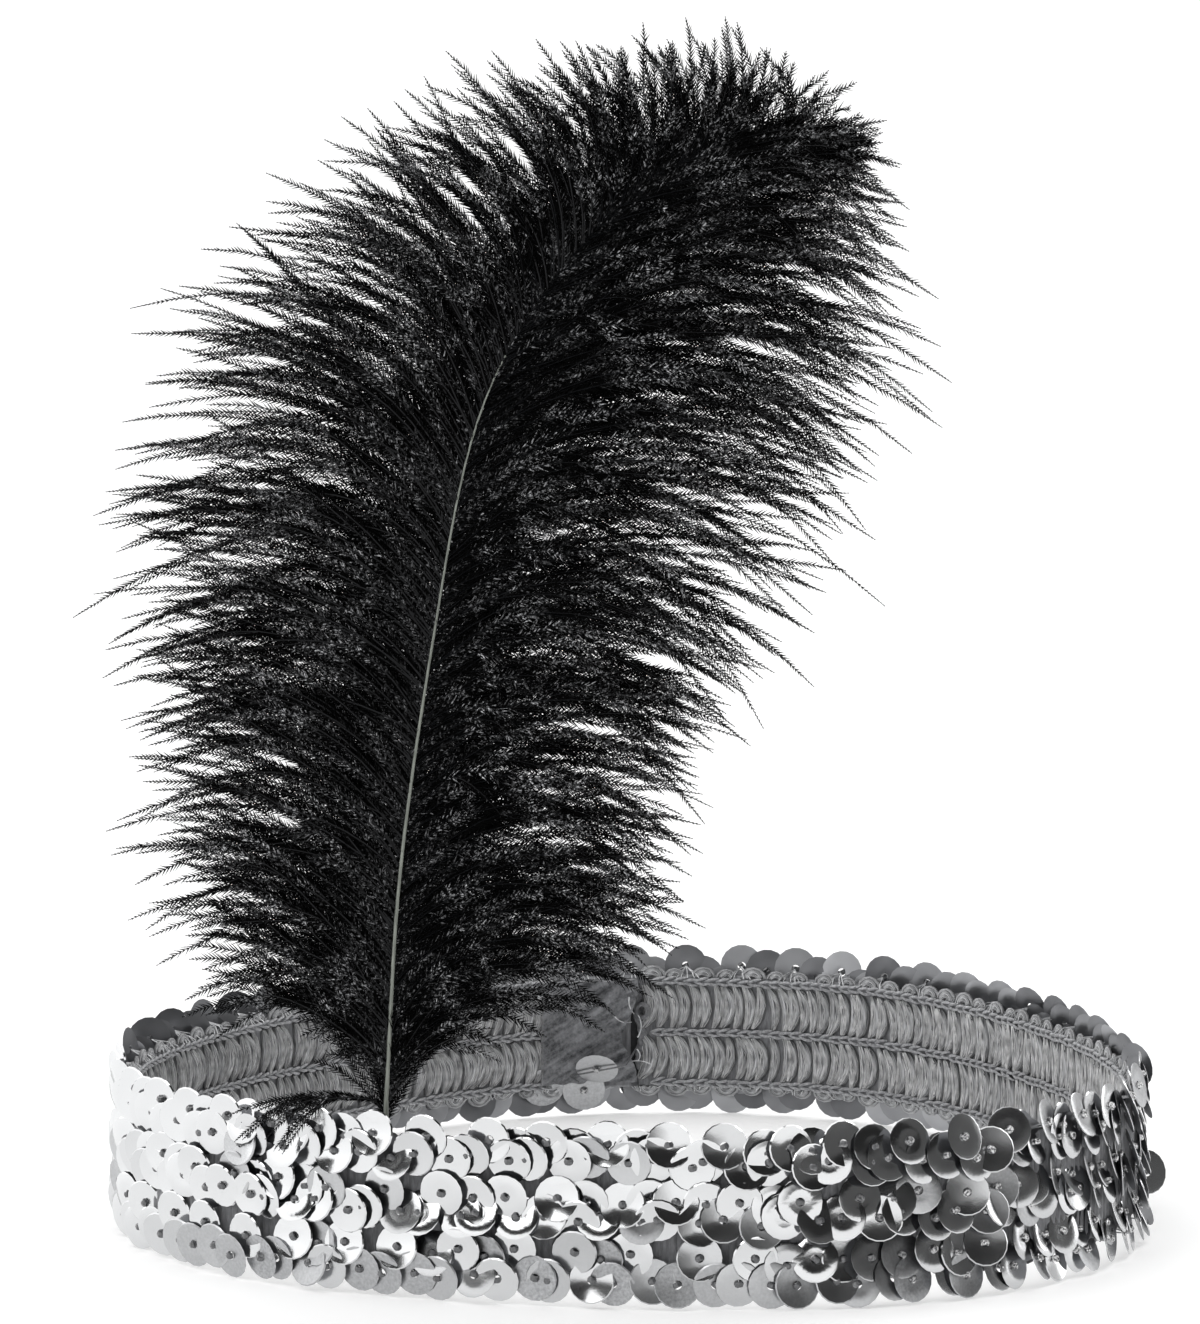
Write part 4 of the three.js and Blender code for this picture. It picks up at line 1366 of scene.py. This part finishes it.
def barb_paths(side, count, random, reach=1.0, swing=0.05, lift=0.12, loose=0.06, shy=0.15,
               first=0.0, last=0.995):
    """Arcs from the shaft to a tip. The reach table is the outer line near which the tips end."""
    table = np.array(REACH_TABLE)
    hand, column = (-1, 1) if side == "left" else (1, 3)
    share = np.linspace(first, last, count) + random.normal(0, 0.6 / count, count)
    share = np.clip(share, 0, 1)
    grid = np.linspace(0, 1, SHAFT_POINTS)
    root = np.stack([np.interp(share, grid, SHAFT[:, k]) for k in range(3)], axis=1)
    tangent = np.stack([np.interp(share, grid, SHAFT_TANGENT[:, k]) for k in range(3)], axis=1)
    across = hand * np.interp(share, table[:, 0], table[:, column])
    up = np.interp(share, table[:, 0], table[:, column + 1])
    # Barbs lie in loose locks of four to eight, which share part of their swing.
    lock = np.floor(np.cumsum(random.uniform(0.1, 0.3, count))).astype(int)
    locks = lock.max() + 1
    turn = random.normal(0, swing * 0.45, locks)[lock] + random.normal(0, swing, count)
    # A few barbs lie right across their neighbours.
    turn = turn + 0.24 * random.choice([-1, 0, 1], count, p=[0.05, 0.89, 0.06])
    grow = reach * (1.05 - np.abs(random.normal(0, 0.05, locks))[lock]
                    - np.abs(random.normal(0, shy, count)))
    chord_across = (across * np.cos(turn) - hand * up * np.sin(turn)) * grow * PLUME_LENGTH
    chord_up = (hand * across * np.sin(turn) + up * np.cos(turn)) * grow * PLUME_LENGTH
    size = np.hypot(chord_across, chord_up)
    out = random.normal(0, lift, locks)[lock] + random.normal(0, lift * 0.5, count)
    out = np.clip(out, -0.4, 0.2)
    chord = (chord_across[:, None] * PLANE_RIGHT + chord_up[:, None] * PLANE_UP
             + (size * (out + 0.06))[:, None] * PLANE_FORWARD)
    # Past its middle the shaft is buried, because the barbs start from its near side.
    root = root + (0.55 * MM * smooth_step(share, 0.6, 0.8))[:, None] * PLANE_FORWARD
    arch = ARCH[side] * (1 + random.normal(0, 0.1, locks)[lock] + random.normal(0, 0.15, count))
    knee = root + 0.38 * chord + (arch * size)[:, None] * tangent
    t = np.linspace(0, 1, BARB_POINTS)[None, :, None]
    paths = bend(root[:, None], knee[:, None], (root + chord)[:, None], t)
    wave = random.normal(0, 1, (count, 1, 3)) * np.sin(2.4 * np.pi * t) * t * 0.8 * MM
    stray = random.normal(0, 1, (count, 1, 3)) * t ** 3 * 1.2 * MM
    # Past its middle each lock veers to one side, and each barb in it a little more or less.
    aside = np.cross(PLANE_FORWARD, chord / np.linalg.norm(chord, axis=1, keepdims=True))
    droop = 0.09 * (side == "left") * smooth_step(share, 0.36, 0.46)
    droop = droop * (1 - smooth_step(share, 0.54, 0.66))
    veer = (droop + random.normal(0, loose, locks)[lock] + random.normal(0, loose, count)) * size
    return paths + wave + stray + veer[:, None, None] * t ** 2.4 * aside[:, None], share


# %% From paths to a finished part of the plume
def dress_barbs(name, paths, root_width, barbule_length, spacing, opening=0.66, splay=0.75,
                stands_for=()):
    count, size = paths.shape[:2]
    run = np.tile(np.linspace(0, 1, size), count)
    glints = np.random.default_rng(41)
    beats = glints.uniform(1.0, 3.0, count)[:, None] * np.linspace(0, 1, size)
    beats = beats + glints.uniform(0, 1, count)[:, None]
    carrier = path_mesh(
        name, paths, thickness=root_width * (1 - 0.45 * run ** 2),
        # Barbules are a little shorter at the root and much shorter towards the tip.
        barbule=(np.repeat(np.broadcast_to(barbule_length, count), size)
                 * (0.65 + 0.35 * smooth_step(run, 0, 0.2)) * (1 - 0.55 * run ** 2)
                 * (1 - 0.9 * smooth_step(run, 0.93, 1.0))),
        # The inner third of a barb lies in the shade of the others and glints least.
        sheen=(smooth_step(np.sin(2 * np.pi * beats), 0.25, 1.0).ravel()
               * (0.4 + 0.6 * smooth_step(run, 0.08, 0.4))),
        plane=np.broadcast_to(PLANE_FORWARD, (count * size, 3)))
    return harvest(name, carrier, BARBS, "feather", stands_for, Barbule=barbule, Spacing=spacing,
                   Opening=opening, Splay=splay, Stem=barb_black, Material=feather_black)


barbule = barbule_shape()
plume_random = np.random.default_rng(23)
for side, loose, shy in (("left", 0.08, 0.15), ("right", 0.055, 0.12)):
    paths, share = barb_paths(side, 380, plume_random, swing=0.05, loose=loose, shy=shy, first=0.02)
    long = (2.1 + 0.9 * (1 - smooth_step(share, 0.0, 0.2))) * MM
    dress_barbs(f"plume_barbs_{side}", paths, 0.1 * MM, long, 0.52 * MM,
                stands_for=["ostrich_plume"])

# %% [markdown]
# ## The under-layer, the down and the wisps
#
# Behind the main barbs lies a shorter, looser layer that crosses them and closes the gaps. Round the
# foot of the shaft the barbs are down: short, soft and thick with barbules. A few long single barbs
# stand out past the outline.

# %% Under-layer
for side in ("left", "right"):
    paths, _ = barb_paths(side, 290, plume_random, reach=0.88, swing=0.17, lift=0.2, loose=0.1,
                          shy=0.2, first=0.05, last=0.94)
    paths = paths - 1.2 * MM * PLANE_FORWARD
    dress_barbs(f"plume_under_{side}", paths, 0.09 * MM, 2.3 * MM, 0.58 * MM)

# %% Short barbs along the shaft
# Close to the shaft the plume is solid black, because every barb there has shorter ones behind it.
for side in ("left", "right"):
    paths, _ = barb_paths(side, 260, plume_random, reach=0.42, swing=0.12, lift=0.1, shy=0.25,
                          first=0.03, last=0.88)
    paths = paths - 0.7 * MM * PLANE_FORWARD
    dress_barbs(f"plume_core_{side}", paths, 0.09 * MM, 2.6 * MM, 0.58 * MM)

# %% Down round the foot
def down_paths(count, random):
    t = np.linspace(0, 1, BARB_POINTS)[None, :, None]
    root = foot + (random.uniform(-3, 16, count) * MM)[:, None] * PLANE_UP
    root = root - 0.9 * MM * PLANE_FORWARD
    angle = np.radians(random.uniform(12, 58, count)) * random.choice([-1, 1], count)
    size = random.uniform(8, 17, count) * MM
    lift = random.normal(-0.1, 0.25, count)
    heading = np.sin(angle)[:, None] * PLANE_RIGHT + np.cos(angle)[:, None] * PLANE_UP
    chord = size[:, None] * (heading + lift[:, None] * PLANE_FORWARD)
    knee = root + 0.5 * chord + (0.22 * size)[:, None] * PLANE_UP
    return bend(root[:, None], knee[:, None], (root + chord)[:, None], t)


dress_barbs("plume_down", down_paths(90, plume_random), 0.09 * MM, 2.0 * MM, 0.5 * MM)

# %% Wisps
WISPS = [  # side, share along the shaft, reach, swing in radians
    ("left", 0.1, 1.1, 0.25), ("left", 0.22, 1.08, -0.1), ("left", 0.3, 1.18, 0.02),
    ("left", 0.36, 1.1, 0.2), ("left", 0.47, 1.05, 0.12), ("left", 0.62, 1.1, 0.1),
    ("right", 0.12, 1.12, 0.2), ("right", 0.3, 1.1, -0.2), ("right", 0.46, 1.12, -0.18),
    ("right", 0.58, 1.06, 0.1), ("right", 0.7, 1.1, -0.05),
]
wisps = []
for side, share, reach, turn in WISPS:
    lone, _ = barb_paths(side, 2, plume_random, reach=reach, swing=0.01, first=share,
                         last=share + 0.004)
    wisps.append(lone)
dress_barbs("plume_wisps", np.concatenate(wisps), 0.1 * MM, 1.4 * MM, 0.6 * MM)

# %% The tuft over the front edge
def tuft_paths(count, random):
    at = PLUME_PLACE * LOOP_LENGTH
    t = np.linspace(0, 1, BARB_POINTS)[:, None]
    paths = []
    for _ in range(count):
        reach = random.uniform(10, 20) * MM
        fall = random.uniform(1.5, 7.0) * MM
        start = band_point(np.array(at - random.uniform(1, 6) * MM), np.array(4.2 * MM), 25.6 * MM)
        crest = band_point(np.array(at - 0.55 * reach), np.array(-0.6 * MM), 27.6 * MM)
        inset = np.array(random.uniform(-2.4, -1.2) * MM)
        tip = band_point(np.array(at - reach), inset, 25.5 * MM - fall)
        paths.append(bend(start, crest, tip, t))
    return np.stack(paths)


dress_barbs("plume_tuft", tuft_paths(16, plume_random), 0.09 * MM, 1.4 * MM, 0.5 * MM)

# %% The shaft
stub = np.stack([foot + np.array([0, 0, z * MM]) for z in (-18.5, -12, -6)])
shaft_path = np.concatenate([stub, SHAFT[::8]])[None]
run = np.linspace(0, 1, shaft_path.shape[1])
strands("plume_shaft", shaft_path, (0.36 - 0.3 * run ** 0.7)[None] * MM, shaft_keratin, "feather",
        sides=8)
drop(barbule)
